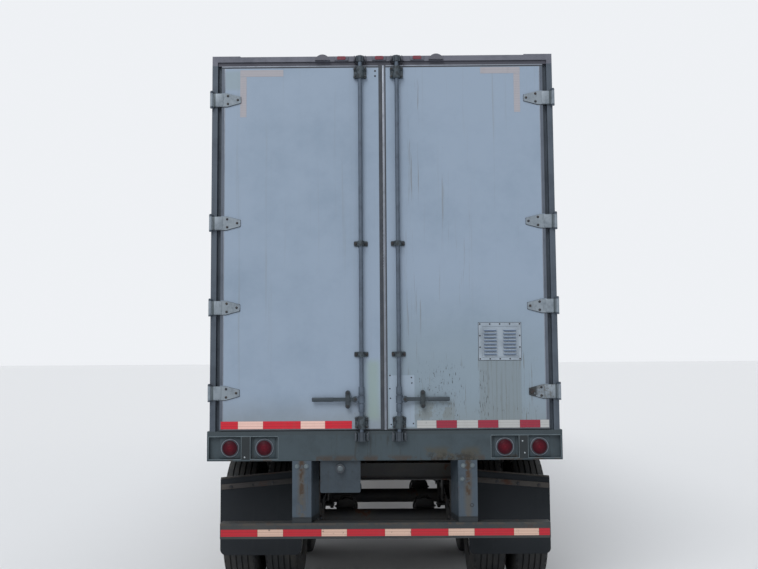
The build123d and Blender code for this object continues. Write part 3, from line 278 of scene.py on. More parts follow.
def startGroup(name, inputs, outputs):
    tree = bpy.data.node_groups.new(name, "ShaderNodeTree")
    for label, kind, value in inputs:
        socket = tree.interface.new_socket(name=label, in_out="INPUT", socket_type="NodeSocket" + kind)
        if value is not None:
            socket.default_value = value
    for label, kind in outputs:
        tree.interface.new_socket(name=label, in_out="OUTPUT", socket_type="NodeSocket" + kind)
    return tree, tree.nodes.new("NodeGroupInput").outputs, tree.nodes.new("NodeGroupOutput").inputs


def noiseOf(tree, vector, scale, detail=4.0, roughness=0.6):
    return addNode(tree, "ShaderNodeTexNoise", Vector=vector, Scale=scale, Detail=detail, Roughness=roughness)


def makeRainStreaks():  # thin stains that run straight down
    tree, into, out = startGroup(
        "rainStreaks",
        [("Vector", "Vector", None), ("Across", "Float", 30.0), ("Down", "Float", 0.8),
         ("Cut", "Float", 0.55), ("Soft", "Float", 0.2)],
        [("Mask", "Float")])
    squeeze = addNode(tree, "ShaderNodeCombineXYZ", X=into["Across"], Y=into["Across"], Z=into["Down"])
    spread = addNode(tree, "ShaderNodeVectorMath", {"operation": "MULTIPLY"})
    feed(tree, spread.inputs[0], into["Vector"])
    feed(tree, spread.inputs[1], squeeze.outputs[0])
    noise = noiseOf(tree, spread.outputs[0], 1.0, 5.0, 0.65)
    top = work(tree, "ADD", into["Cut"], into["Soft"])
    feed(tree, out["Mask"], span(tree, noise.outputs["Fac"], into["Cut"], top))
    return tree


def makePatchField():  # broken patches, with fine crumbs at their edges
    tree, into, out = startGroup(
        "patchField",
        [("Vector", "Vector", None), ("Scale", "Float", 4.0), ("Cut", "Float", 0.55),
         ("Soft", "Float", 0.15)],
        [("Mask", "Float")])
    noise = noiseOf(tree, into["Vector"], into["Scale"], 9.0, 0.68)
    top = work(tree, "ADD", into["Cut"], into["Soft"])
    feed(tree, out["Mask"], span(tree, noise.outputs["Fac"], into["Cut"], top))
    return tree


def makeLowDirt():  # full at Low, gone at High, with an uneven edge
    tree, into, out = startGroup(
        "lowDirt",
        [("Vector", "Vector", None), ("Low", "Float", 0.0), ("High", "Float", 1.0), ("Uneven", "Float", 0.5)],
        [("Mask", "Float")])
    level = span(tree, axisOf(tree, into["Vector"], "Z"), into["Low"], into["High"], 1.0, 0.0)
    noise = noiseOf(tree, into["Vector"], 6.0, 6.0, 0.65)
    wobble = work(tree, "MULTIPLY", work(tree, "SUBTRACT", noise.outputs["Fac"], 0.5), into["Uneven"])
    feed(tree, out["Mask"], work(tree, "MULTIPLY", level, work(tree, "ADD", wobble, 1.0), True))
    return tree


def makeBoxArea():  # one inside a box across X and Z, with soft edges
    tree, into, out = startGroup(
        "boxArea",
        [("Vector", "Vector", None), ("Left", "Float", -1.0), ("Right", "Float", 1.0), ("Low", "Float", 0.0),
         ("High", "Float", 1.0), ("Soft", "Float", 0.02)],
        [("Mask", "Float")])
    parts = addNode(tree, "ShaderNodeSeparateXYZ", Vector=into["Vector"])
    mask = None
    for axis, first, last in (("X", "Left", "Right"), ("Z", "Low", "High")):
        risen = work(tree, "ADD", into[first], into["Soft"])
        fallen = work(tree, "SUBTRACT", into[last], into["Soft"])
        up = span(tree, parts.outputs[axis], into[first], risen)
        down = span(tree, parts.outputs[axis], fallen, into[last], 1.0, 0.0)
        both = work(tree, "MULTIPLY", up, down)
        mask = both if mask is None else work(tree, "MULTIPLY", mask, both)
    feed(tree, out["Mask"], mask)
    return tree


def makeFineGrain():  # small bumps for the Height of a Bump node
    tree, into, out = startGroup(
        "fineGrain",
        [("Vector", "Vector", None), ("Fine", "Float", 260.0), ("Coarse", "Float", 14.0),
         ("Waves", "Float", 0.4)],
        [("Height", "Float")])
    fine = noiseOf(tree, into["Vector"], into["Fine"], 3.0, 0.5)
    coarse = noiseOf(tree, into["Vector"], into["Coarse"], 3.0, 0.5)
    feed(tree, out["Height"], lift(tree, coarse.outputs["Fac"], into["Waves"], fine.outputs["Fac"]))
    return tree


def makeAxleRings():  # distance from the nearer axle, and the turn round it in parts of a circle
    tree, into, out = startGroup(
        "axleRings",
        [("Vector", "Vector", None), ("Middle", "Float", sum(axleYs) / 2),
         ("Half", "Float", (axleYs[1] - axleYs[0]) / 2), ("Height", "Float", axleZ)],
        [("Radius", "Float"), ("Turn", "Float")])
    parts = addNode(tree, "ShaderNodeSeparateXYZ", Vector=into["Vector"])
    along = work(tree, "ABSOLUTE", work(tree, "SUBTRACT", parts.outputs["Y"], into["Middle"]))
    along = work(tree, "SUBTRACT", along, into["Half"])
    rise = work(tree, "SUBTRACT", parts.outputs["Z"], into["Height"])
    feed(tree, out["Radius"], lengthOf(tree, along, rise))
    feed(tree, out["Turn"], work(tree, "DIVIDE", work(tree, "ARCTAN2", rise, along), 2 * math.pi))
    return tree


rainStreaks = makeRainStreaks()
patchField = makePatchField()
lowDirt = makeLowDirt()
boxArea = makeBoxArea()
fineGrain = makeFineGrain()
axleRings = makeAxleRings()


def addGroup(tree, group, **inputs):
    node = tree.nodes.new("ShaderNodeGroup")
    node.node_tree = group
    for key, value in inputs.items():
        feed(tree, node.inputs[key], value)
    return node.outputs


def useGroup(tree, group, **inputs):
    return addGroup(tree, group, **inputs)[0]


def startMaterial(name):
    material = bpy.data.materials.new(name)
    material.use_nodes = True
    tree = material.node_tree
    return material, tree, tree.nodes.new("ShaderNodeTexCoord").outputs["Object"]


def finishMaterial(material, colour, rough, height, strength, distance=0.002, **own):
    tree = material.node_tree
    bump = addNode(tree, "ShaderNodeBump", Strength=strength, Distance=distance, Height=height)
    values = {"Base_Color": colour, "Roughness": rough, "Normal": bump.outputs[0], **own}
    for key, value in values.items():
        feed(tree, tree.nodes["Principled BSDF"].inputs[key.replace("_", " ")], value)
    return material


weatherBasics = {
    "colour": (150, 155, 160), "second": (130, 135, 140), "mottle": 3.0, "mottleCut": 0.42, "mottleSoft": 0.3,
    "streakColour": (90, 84, 74), "streak": 0.0, "across": 30.0, "down": 0.8, "streakCut": 0.55,
    "streakSoft": 0.2, "dirtColour": (84, 76, 64), "dirt": 0.0, "dirtLow": 1.3, "dirtHigh": 1.8,
    "rustColours": ((92, 50, 28), (52, 34, 26)), "rust": 0.0, "rustScale": 9.0, "rustCut": 0.6,
    "rustSoft": 0.08,
    "dustColour": (150, 142, 128), "dust": 0.0, "dustScale": 2.0,
    "roughness": 0.5, "metallic": 0.0, "grain": 260.0, "waves": 0.4, "bump": 0.12, "areas": (),
}


def weathered(name, **look):
    look = {**weatherBasics, **look}
    material, tree, place = startMaterial(name)
    mottle = useGroup(tree, patchField, Vector=place, Scale=look["mottle"], Cut=look["mottleCut"],
                      Soft=look["mottleSoft"])
    colour = blendColour(tree, mottle, look["colour"], look["second"])
    rough = lift(tree, mottle, 0.08, look["roughness"])
    if look["dust"]:
        film = useGroup(tree, patchField, Vector=place, Scale=look["dustScale"], Cut=0.35, Soft=0.4)
        film = work(tree, "MULTIPLY", film, look["dust"])
        colour = blendColour(tree, film, colour, look["dustColour"])
        rough = lift(tree, film, 0.3, rough)
    if look["streak"]:
        run = useGroup(tree, rainStreaks, Vector=place, Across=look["across"], Down=look["down"],
                       Cut=look["streakCut"], Soft=look["streakSoft"])
        colour = blendColour(tree, run, colour, look["streakColour"], look["streak"])
    if look["dirt"]:
        low = useGroup(tree, lowDirt, Vector=place, Low=look["dirtLow"], High=look["dirtHigh"], Uneven=1.2)
        colour = blendColour(tree, low, colour, look["dirtColour"], look["dirt"])
    for area in look["areas"]:  # each is plain, or broken up by streaks or by patches
        mask = useGroup(tree, boxArea, Vector=place, Left=area["x"][0], Right=area["x"][1],
                        Low=area["z"][0], High=area["z"][1], Soft=area["soft"])
        if "across" in area:
            marks = useGroup(tree, rainStreaks, Vector=place, Across=area["across"], Down=area["down"],
                             Cut=area["cut"], Soft=0.1)
            mask = work(tree, "MULTIPLY", mask, marks)
        elif "scale" in area:
            marks = useGroup(tree, patchField, Vector=place, Scale=area["scale"], Cut=area["cut"], Soft=0.08)
            mask = work(tree, "MULTIPLY", mask, marks)
        colour = blendColour(tree, mask, colour, area["colour"], area["amount"])
    metal = look["metallic"]
    height = useGroup(tree, fineGrain, Vector=place, Fine=look["grain"], Waves=look["waves"])
    if look["rust"]:
        spots = useGroup(tree, patchField, Vector=place, Scale=look["rustScale"], Cut=look["rustCut"],
                         Soft=look["rustSoft"])
        spots = work(tree, "MULTIPLY", spots, look["rust"])
        tint = noiseOf(tree, place, 45.0, 4.0).outputs["Fac"]
        colour = blendColour(tree, spots, colour, blendColour(tree, tint, *look["rustColours"]))
        rough = lift(tree, spots, 0.35, rough, True)
        height = lift(tree, spots, 0.7, height)
        if metal:
            metal = work(tree, "MULTIPLY", work(tree, "SUBTRACT", 1.0, spots), metal)
    return finishMaterial(material, colour, rough, height, look["bump"], Metallic=metal)


# Paints and metals

# the doors' white paint is given as a darker blue grey: painted shade, the tone of doors standing in shade;
# the walls keep their white
shadedDoorLook = {
    "colour": (139, 155, 174), "second": (128, 145, 164), "mottle": 1.1, "roughness": 0.42, "waves": 1.2,
    "bump": 0.07, "streakColour": (120, 124, 122), "streak": 0.35, "across": 22.0, "down": 0.5,
    "streakCut": 0.58, "dirtColour": (110, 111, 105), "dirt": 0.45, "dirtLow": 1.33, "dirtHigh": 1.62,
}
leftDoorAreas = (
    {"x": (-0.16, 0.0), "z": (1.36, 1.86), "soft": 0.07, "colour": (134, 154, 142), "amount": 0.6},
    {"x": (-1.205, -1.03), "z": (3.84, 4.024), "soft": 0.04, "colour": (132, 148, 152), "amount": 0.5},
    {"x": (-0.34, -0.18), "z": (1.42, 1.7), "soft": 0.03, "colour": (110, 116, 122), "amount": 0.5,
     "scale": 30.0, "cut": 0.6},
)
rightDoorAreas = (
    {"x": (-0.5, 1.7), "z": (0.7, 2.5), "soft": 0.8, "colour": (116, 132, 138), "amount": 0.55},
    {"x": (0.3, 0.75), "z": (2.2, 3.3), "soft": 0.12, "colour": (110, 111, 106), "amount": 0.5,
     "across": 44.0, "down": 1.4, "cut": 0.6},
    {"x": (0.13, 0.32), "z": (1.35, 3.95), "soft": 0.05, "colour": (102, 101, 94), "amount": 0.6,
     "across": 54.0, "down": 1.5, "cut": 0.58},
    {"x": (0.24, 1.18), "z": (1.34, 1.9), "soft": 0.06, "colour": (92, 89, 78), "amount": 0.6,
     "across": 70.0, "down": 3.0, "cut": 0.58},
    {"x": (0.035, 0.225), "z": (1.34, 1.72), "soft": 0.006, "colour": (150, 165, 182), "amount": 0.65},
    {"x": (0.692, 1.012), "z": (1.2, 1.83), "soft": 0.012, "colour": (112, 121, 124), "amount": 0.5},
    {"x": (0.71, 1.0), "z": (1.3, 1.84), "soft": 0.03, "colour": (98, 106, 108), "amount": 0.4,
     "across": 60.0, "down": 1.2, "cut": 0.5},
    {"x": (0.2, 0.62), "z": (1.34, 1.84), "soft": 0.08, "colour": (38, 42, 42), "amount": 0.95,
     "across": 95.0, "down": 20.0, "cut": 0.575},
    {"x": (0.68, 0.78), "z": (1.38, 1.76), "soft": 0.02, "colour": (46, 48, 46), "amount": 0.9,
     "across": 120.0, "down": 15.0, "cut": 0.55},
    {"x": (0.6, 1.19), "z": (1.34, 1.52), "soft": 0.04, "colour": (58, 58, 54), "amount": 0.8,
     "across": 130.0, "down": 12.0, "cut": 0.6},
    {"x": (0.2, 0.54), "z": (1.36, 1.56), "soft": 0.07, "colour": (98, 98, 86), "amount": 0.4,
     "scale": 10.0, "cut": 0.44},
    {"x": (0.26, 0.56), "z": (1.36, 1.76), "soft": 0.07, "colour": (40, 45, 46), "amount": 0.9,
     "scale": 34.0, "cut": 0.6},
    {"x": (0.66, 1.18), "z": (1.35, 1.6), "soft": 0.07, "colour": (52, 55, 54), "amount": 0.85,
     "scale": 40.0, "cut": 0.625},
    {"x": (0.03, 0.6), "z": (2.0, 3.6), "soft": 0.1, "colour": (84, 84, 80), "amount": 0.7,
     "across": 150.0, "down": 26.0, "cut": 0.69},
    {"x": (0.045, 0.22), "z": (1.36, 1.72), "soft": 0.02, "colour": (64, 70, 78), "amount": 0.7,
     "scale": 42.0, "cut": 0.665},
)
leftDoorPaint = weathered("leftDoorPaint", **shadedDoorLook, areas=leftDoorAreas)
rightDoorPaint = weathered("rightDoorPaint", **{**shadedDoorLook, "streak": 0.5}, areas=rightDoorAreas)
postSteel = weathered("postSteel", colour=(73, 83, 94), second=(58, 67, 78), mottle=4.0, roughness=0.52,
                      metallic=0.2, streak=0.55, streakColour=(50, 56, 60), across=46.0, down=0.9, rust=0.7,
                      rustScale=8.0, rustCut=0.66, bump=0.2)
sillAreas = (
    {"x": (-1.29, 1.29), "z": (1.08, 1.15), "soft": 0.03, "colour": (58, 48, 40), "amount": 0.75,
     "scale": 9.0, "cut": 0.5},
    {"x": (-0.3, 0.25), "z": (1.1, 1.3), "soft": 0.04, "colour": (40, 43, 42), "amount": 0.6,
     "across": 34.0, "down": 3.0, "cut": 0.54},
    {"x": (0.26, 0.72), "z": (1.06, 1.22), "soft": 0.06, "colour": (66, 62, 50), "amount": 0.7,
     "scale": 7.0, "cut": 0.42},
    {"x": (0.3, 0.68), "z": (1.07, 1.17), "soft": 0.04, "colour": (34, 32, 28), "amount": 0.85,
     "scale": 46.0, "cut": 0.46},
    {"x": (-1.29, 1.29), "z": (1.285, 1.32), "soft": 0.006, "colour": (50, 60, 65), "amount": 0.8},
    {"x": (-1.05, -0.975), "z": (1.11, 1.28), "soft": 0.004, "colour": (22, 30, 34), "amount": 0.95},
    {"x": (0.975, 1.05), "z": (1.11, 1.28), "soft": 0.004, "colour": (22, 30, 34), "amount": 0.95},
) + tuple(
    {"x": (x - 0.048, x + 0.048), "z": (1.234, 1.312), "soft": 0.004, "colour": (50, 58, 64), "amount": 0.85}
    for x in lockXs.values()
)
sillSteel = weathered("sillSteel", colour=(55, 68, 75), second=(45, 56, 62), mottle=3.5, roughness=0.55,
                      metallic=0.15, streak=0.5, streakColour=(42, 46, 44), across=36.0, down=2.2, rust=0.6,
                      rustScale=10.0, rustCut=0.7, bump=0.25, areas=sillAreas)
headerAreas = (
    # a dark band along the header's lower part: painted shade under the header's upper lip
    {"x": (-1.24, 1.24), "z": (4.04, 4.0765), "soft": 0.003, "colour": (56, 57, 68), "amount": 0.8},
) + tuple(
    {"x": (x - 0.048, x + 0.048), "z": (4.054, 4.114), "soft": 0.004, "colour": (66, 68, 76), "amount": 0.8}
    for x in lockXs.values()
)
headerSteel = weathered("headerSteel", colour=(99, 101, 112), second=(83, 86, 97), mottle=6.0,
                        roughness=0.52, metallic=0.15, streak=0.4, streakColour=(62, 61, 66), across=30.0,
                        down=6.0, rust=0.5, rustCut=0.66, bump=0.2, areas=headerAreas)
hingeAreas = tuple(
    {"x": sorted((side * 1.247, side * 1.2665)), "z": (1.4, 4.0), "soft": 0.004, "colour": (62, 72, 76),
     "amount": 0.85}
    for side in (-1, 1)
) + (
    {"x": (1.05, 1.25), "z": (1.53, 1.66), "soft": 0.02, "colour": (86, 86, 82), "amount": 0.6,
     "scale": 40.0, "cut": 0.5},
    {"x": (1.04, 1.125), "z": (1.54, 1.65), "soft": 0.02, "colour": (34, 37, 37), "amount": 0.9,
     "scale": 34.0, "cut": 0.36},
)
hingeAlloy = weathered("hingeAlloy", colour=(131, 141, 150), second=(108, 118, 127), mottle=16.0,
                       roughness=0.45, metallic=0.3, streak=0.5, streakColour=(82, 88, 91), across=80.0,
                       down=12.0, rust=0.5, rustScale=30.0, rustCut=0.68, grain=420.0, bump=0.16,
                       areas=hingeAreas)
trimAlloy = weathered("trimAlloy", colour=(86, 94, 106), second=(74, 82, 93), mottle=8.0, roughness=0.45,
                      metallic=0.3, streak=0.4, streakColour=(64, 68, 72), across=60.0, down=1.0, bump=0.1)
paleTrim = weathered("paleTrim", colour=(128, 134, 145), second=(108, 114, 124), mottle=10.0, roughness=0.4,
                     metallic=0.4, streak=0.3, streakColour=(96, 98, 102), across=40.0, down=1.5, bump=0.08)
edgeSteel = weathered("edgeSteel", colour=(104, 116, 122), second=(84, 95, 101), mottle=12.0, roughness=0.5,
                      metallic=0.3, rust=0.6, rustScale=16.0, rustCut=0.64, bump=0.15)
railAlloy = weathered("railAlloy", colour=(158, 165, 171), second=(142, 149, 155), mottle=2.0,
                      roughness=0.38, metallic=0.6, streak=0.35, streakColour=(112, 112, 108), across=18.0,
                      down=5.0, bump=0.08, dust=0.25)
roofAlloy = weathered("roofAlloy", colour=(176, 181, 185), second=(158, 163, 166), mottle=0.7, roughness=0.42,
                      metallic=0.5, dust=0.45, dustColour=(146, 142, 132), dustScale=1.2, waves=2.0, bump=0.1)
camAreas = tuple(
    {"x": (x - 0.03, x + 0.03), "z": z, "soft": 0.004, "colour": (56, 63, 70), "amount": 0.85}
    for x in lockXs.values() for z in ((1.236, 1.312), (4.056, 4.114))
) + (
    {"x": (-0.53, -0.2), "z": (1.52, 1.568), "soft": 0.004, "colour": (48, 57, 63), "amount": 0.9},
    {"x": (0.145, 0.48), "z": (1.52, 1.568), "soft": 0.004, "colour": (50, 58, 63), "amount": 0.85},
)
lockSteel = weathered("lockSteel", colour=(82, 94, 108), second=(67, 77, 89), mottle=14.0, roughness=0.48,
                      metallic=0.35, streak=0.45, streakColour=(56, 60, 62), across=90.0, down=4.0, rust=0.65,
                      rustScale=22.0, rustCut=0.66, bump=0.2, areas=camAreas)
castAreas = (
    {"x": (-0.3, -0.23), "z": (1.46, 1.63), "soft": 0.004, "colour": (42, 50, 56), "amount": 0.8},
    {"x": (0.247, 0.317), "z": (1.46, 1.63), "soft": 0.004, "colour": (44, 52, 56), "amount": 0.8},
)
castSteel = weathered("castSteel", colour=(64, 74, 81), second=(42, 49, 54), mottle=30.0, mottleCut=0.46,
                      mottleSoft=0.12, roughness=0.58, metallic=0.25, rust=0.5, rustScale=30.0, rustCut=0.66,
                      grain=520.0, bump=0.4, areas=castAreas)
boltSteel = weathered("boltSteel", colour=(46, 50, 56), second=(70, 62, 54), mottle=60.0, roughness=0.5,
                      metallic=0.6, rust=0.6, rustScale=70.0, rustCut=0.55, bump=0.2)
rivetAlloy = weathered("rivetAlloy", colour=(160, 167, 172), second=(130, 136, 140), mottle=8.0,
                       roughness=0.4, metallic=0.55, bump=0.05)
chassisBlack = weathered("chassisBlack", colour=(32, 35, 39), second=(44, 42, 40), mottle=5.0,
                         roughness=0.6, dust=0.38, dustColour=(82, 78, 70), dustScale=3.0, rust=0.85,
                         rustScale=6.0, rustCut=0.58, bump=0.3)
guardAreas = (
    {"x": (-1.2, 1.2), "z": (0.636, 0.66), "soft": 0.008, "colour": (70, 60, 50), "amount": 0.5,
     "scale": 14.0, "cut": 0.46},
)
guardBlack = weathered("guardBlack", colour=(36, 42, 46), second=(46, 50, 52), mottle=6.0, roughness=0.55,
                       rust=0.9, rustScale=7.0, rustCut=0.6, dust=0.25, dustColour=(86, 78, 66), bump=0.3,
                       areas=guardAreas)
guardPostX = 0.6035  # middle of each guard post
guardPostAreas = tuple(
    {"x": (x - 0.045, x + 0.045), "z": (0.64, 1.12), "soft": 0.045,
     "colour": (84, 76, 62), "amount": 0.6, "scale": 11.0, "cut": 0.42}
    for x in (-guardPostX, guardPostX)
) + tuple(
    {"x": (x - 0.026, x + 0.026), "z": (0.84, 1.12), "soft": 0.02,
     "colour": (60, 44, 30), "amount": 0.9, "scale": 32.0, "cut": 0.43}
    for x in (-guardPostX, guardPostX)
) + (
    {"x": (-0.72, 0.72), "z": (0.62, 0.7), "soft": 0.008, "colour": (34, 40, 44), "amount": 0.95},
)
guardGrey = weathered("guardGrey", colour=(66, 78, 89), second=(54, 65, 75), mottle=7.0, roughness=0.5,
                      metallic=0.3, streak=0.6, streakColour=(66, 62, 58), across=60.0, down=3.0, rust=0.85,
                      rustScale=12.0, rustCut=0.62, bump=0.25, areas=guardPostAreas)
flapBarSteel = weathered("flapBarSteel", colour=(44, 41, 41), second=(34, 35, 37), mottle=8.0, roughness=0.65,
                         rust=0.7, rustScale=7.0, rustCut=0.52, rustSoft=0.2, dust=0.15, bump=0.35)
beamPaint = weathered("beamPaint", colour=(86, 89, 90), second=(68, 69, 68), mottle=2.5, roughness=0.6,
                      dust=0.35, rust=0.8, rustScale=4.0, rustCut=0.6, bump=0.2)
plateGrey = weathered("plateGrey", colour=(49, 60, 69), second=(41, 51, 59), mottle=10.0, roughness=0.5,
                      metallic=0.2, streak=0.4, streakColour=(46, 45, 42), across=60.0, down=6.0, rust=0.6,
                      rustScale=18.0, rustCut=0.64, bump=0.2)
sealRubber = weathered("sealRubber", colour=(52, 57, 65), second=(66, 70, 77), mottle=5.0, roughness=0.8,
                       dust=0.3, dustColour=(100, 103, 104), dustScale=9.0, bump=0.25)
flapRubber = weathered("flapRubber", colour=(13, 20, 27), second=(18, 25, 31), mottle=4.0, roughness=0.85,
                       dust=0.12, dustColour=(52, 55, 56), dustScale=3.0, streak=0.25,
                       streakColour=(36, 41, 44), across=24.0, down=1.4, bump=0.25)
print("paints and metals ready")


louvres = {"low": 1.861, "high": 2.059, "pitch": 0.02475, "middles": (0.78025, 0.92275), "half": 0.047}


def makeVentPaint():  # worn plate, with the shade under each hood
    material, tree, place = startMaterial("ventPaint")
    mottle = useGroup(tree, patchField, Vector=place, Scale=9.0, Cut=0.42, Soft=0.3)
    colour = blendColour(tree, mottle, (147, 159, 171), (129, 140, 151))
    run = useGroup(tree, rainStreaks, Vector=place, Across=60.0, Down=3.0, Cut=0.56, Soft=0.2)
    colour = blendColour(tree, run, colour, (104, 100, 88), 0.45)
    low, high, pitch = louvres["low"], louvres["high"], louvres["pitch"]
    row = work(tree, "SUBTRACT", axisOf(tree, place, "Z"), low)
    row = work(tree, "FRACT", work(tree, "MULTIPLY", row, 1 / pitch))
    shade = work(tree, "MULTIPLY", span(tree, row, 0.02, 0.08), span(tree, row, 0.36, 0.48, 1.0, 0.0))
    columns = None
    for middle in louvres["middles"]:
        column = useGroup(tree, boxArea, Vector=place, Left=middle - louvres["half"],
                          Right=middle + louvres["half"], Low=low, High=high, Soft=0.002)
        columns = column if columns is None else work(tree, "MAXIMUM", columns, column)
    shade = work(tree, "MULTIPLY", shade, columns)
    colour = blendColour(tree, shade, colour, (74, 94, 122), 0.9)
    rough = lift(tree, mottle, 0.1, 0.45)
    return finishMaterial(material, colour, rough, useGroup(tree, fineGrain, Vector=place), 0.12)


ventPaint = makeVentPaint()


# where the paint ends and the lining starts: at the walls' and the nose's inner faces, and over the floor
lining = {
    "wall": (floorSide + 0.001, floorSide + 0.0025),
    "nose": (floorFront + 0.0015, floorFront + 0.003),
    "floor": (floorTop - 0.001, floorTop + 0.0005),
}


def makeWallPaint():  # painted sheets outside, plywood lining inside the box
    material, tree, place = startMaterial("wallPaint")
    mottle = useGroup(tree, patchField, Vector=place, Scale=0.9, Cut=0.42, Soft=0.3)
    outside = blendColour(tree, mottle, (182, 191, 201), (172, 182, 192))
    run = useGroup(tree, rainStreaks, Vector=place, Across=16.0, Down=0.55, Cut=0.56, Soft=0.2)
    outside = blendColour(tree, run, outside, (140, 140, 132), 0.5)
    low = useGroup(tree, lowDirt, Vector=place, Low=1.35, High=2.1, Uneven=1.2)
    outside = blendColour(tree, low, outside, (122, 116, 102), 0.45)
    inside = span(tree, work(tree, "ABSOLUTE", axisOf(tree, place, "X")), *lining["wall"], 1.0, 0.0)
    back = span(tree, axisOf(tree, place, "Y"), *lining["nose"], 1.0, 0.0)
    raised = span(tree, axisOf(tree, place, "Z"), *lining["floor"])
    inside = work(tree, "MULTIPLY", work(tree, "MULTIPLY", inside, back), raised)
    grainPlace = addNode(tree, "ShaderNodeMapping", Vector=place, Scale=(6.0, 1.5, 34.0))
    grain = noiseOf(tree, grainPlace.outputs[0], 1.0, 7.0, 0.7).outputs["Fac"]
    plywood = blendColour(tree, grain, (176, 146, 104), (134, 104, 70))
    colour = blendColour(tree, inside, outside, plywood)
    rough = span(tree, inside, 0.0, 1.0, 0.42, 0.72)
    height = useGroup(tree, fineGrain, Vector=place, Fine=220.0, Coarse=2.5, Waves=2.5)
    return finishMaterial(material, colour, rough, height, 0.08)


wallPaint = makeWallPaint()


def makeFloorBoards():  # narrow hardwood strips that run lengthwise, worn by pallets
    material, tree, place = startMaterial("floorBoards")
    stripWidth = 0.035
    strip = work(tree, "MULTIPLY", axisOf(tree, place, "X"), 1 / stripWidth)
    number = work(tree, "FLOOR", strip)
    edge = work(tree, "ABSOLUTE", work(tree, "SUBTRACT", work(tree, "FRACT", strip), 0.5))
    groove = span(tree, edge, 0.46, 0.49)
    tone = addNode(tree, "ShaderNodeTexWhiteNoise", {"noise_dimensions": "1D"}, W=number).outputs["Value"]
    grainPlace = addNode(tree, "ShaderNodeMapping", Vector=place, Scale=(60.0, 2.5, 60.0))
    grain = noiseOf(tree, grainPlace.outputs[0], 1.0, 6.0, 0.7).outputs["Fac"]
    colour = blendColour(tree, tone, (142, 108, 74), (112, 84, 58))
    colour = blendColour(tree, grain, colour, (84, 62, 44), 0.6)
    worn = useGroup(tree, patchField, Vector=place, Scale=2.2, Cut=0.48, Soft=0.2)
    colour = blendColour(tree, worn, colour, (128, 118, 104), 0.5)
    colour = blendColour(tree, groove, colour, (40, 32, 26))
    height = work(tree, "SUBTRACT", work(tree, "MULTIPLY", grain, 0.3), groove)
    return finishMaterial(material, colour, lift(tree, worn, 0.15, 0.6), height, 0.4)


floorBoards = makeFloorBoards()


def makeTape(name, colour, second, worn, wornColour):  # reflective tape with its diamond cells
    material, tree, place = startMaterial(name)
    turned = addNode(tree, "ShaderNodeMapping", Vector=place, Rotation=(0.0, math.radians(45), 0.0))
    cells = addNode(tree, "ShaderNodeTexChecker", Vector=turned.outputs[0], Scale=260.0).outputs["Fac"]
    bands = work(tree, "FRACT", work(tree, "MULTIPLY", axisOf(tree, place, "Z"), 54.0))
    bands = work(tree, "ABSOLUTE", work(tree, "SUBTRACT", bands, 0.5))
    base = blendColour(tree, cells, colour, second, 0.35)
    base = blendColour(tree, span(tree, bands, 0.36, 0.46, 0.0, 0.75), base, second)
    holes = useGroup(tree, patchField, Vector=place, Scale=34.0, Cut=worn, Soft=0.05)
    grime = useGroup(tree, rainStreaks, Vector=place, Across=30.0, Down=4.0, Cut=0.5, Soft=0.3)
    base = blendColour(tree, grime, base, (100, 84, 78), 0.16)
    base = blendColour(tree, holes, base, wornColour)
    height = work(tree, "SUBTRACT", work(tree, "MULTIPLY", cells, 0.2), holes)
    return finishMaterial(material, base, lift(tree, holes, 0.35, 0.3), height, 0.2, 0.0005)


tapeRed = makeTape("tapeRed", (202, 10, 40), (148, 6, 30), 0.74, (120, 60, 60))
# the white tape's warm pink tint is painted reflected light on its reflective face, not its own white
tapeWhite = makeTape("tapeWhite", (234, 196, 184), (190, 146, 138), 0.72, (150, 138, 130))
tapeRedWorn = makeTape("tapeRedWorn", (146, 28, 54), (112, 22, 42), 0.62, (104, 66, 74))
tapeWhiteWorn = makeTape("tapeWhiteWorn", (176, 178, 178), (150, 148, 146), 0.62, (128, 132, 132))
guardTapeRed = makeTape("guardTapeRed", (184, 16, 38), (136, 10, 28), 0.66, (84, 44, 46))
# warm pink tint here too: painted reflected light
guardTapeWhite = makeTape("guardTapeWhite", (212, 180, 162), (164, 132, 118), 0.6, (92, 82, 76))
markCream = makeTape("markCream", (162, 160, 166), (150, 149, 156), 0.72, (140, 150, 164))

lampPlaces = {"x": (1.13, 0.878), "z": 1.194}  # middles of the tail lamps on the right


def lensDust(tree, place):
    return useGroup(tree, patchField, Vector=place, Scale=26.0, Cut=0.5, Soft=0.25)


def lensCells(tree, place, scale=160.0):
    return addNode(tree, "ShaderNodeTexVoronoi", Vector=place, Scale=scale).outputs["Distance"]


def makeTailLens():  # moulded rings round the middle of each of the four lamps
    material, tree, place = startMaterial("lensRed")
    outer, inner = lampPlaces["x"]
    sideways = work(tree, "SUBTRACT", work(tree, "ABSOLUTE", axisOf(tree, place, "X")), (outer + inner) / 2)
    sideways = work(tree, "SUBTRACT", work(tree, "ABSOLUTE", sideways), (outer - inner) / 2)
    rise = work(tree, "SUBTRACT", axisOf(tree, place, "Z"), lampPlaces["z"])
    radius = lengthOf(tree, sideways, rise)
    rings = work(tree, "SINE", work(tree, "MULTIPLY", radius, 900.0))
    cells = lensCells(tree, place, 150.0)
    colour = blendColour(tree, span(tree, radius, 0.012, 0.046), (92, 15, 30), (62, 10, 24))
    colour = blendColour(tree, span(tree, radius, 0.004, 0.011, 0.3, 0.0), colour, (118, 44, 54))
    colour = blendColour(tree, cells, colour, (44, 10, 20), 0.6)
    dust = lensDust(tree, place)
    colour = blendColour(tree, dust, colour, (66, 40, 46), 0.2)
    height = lift(tree, rings, 0.3, cells)
    return finishMaterial(material, colour, lift(tree, dust, 0.25, 0.34), height, 0.3, 0.001,
                          Specular_IOR_Level=0.12)


def makeClearLens():
    material, tree, place = startMaterial("lensClear")
    cells = lensCells(tree, place)
    dust = lensDust(tree, place)
    colour = blendColour(tree, cells, (92, 103, 109), (64, 73, 79))
    colour = blendColour(tree, dust, colour, (96, 90, 82), 0.4)
    return finishMaterial(material, colour, lift(tree, dust, 0.3, 0.35), cells, 0.25, 0.001)


lensRed = makeTailLens()
lensClear = makeClearLens()


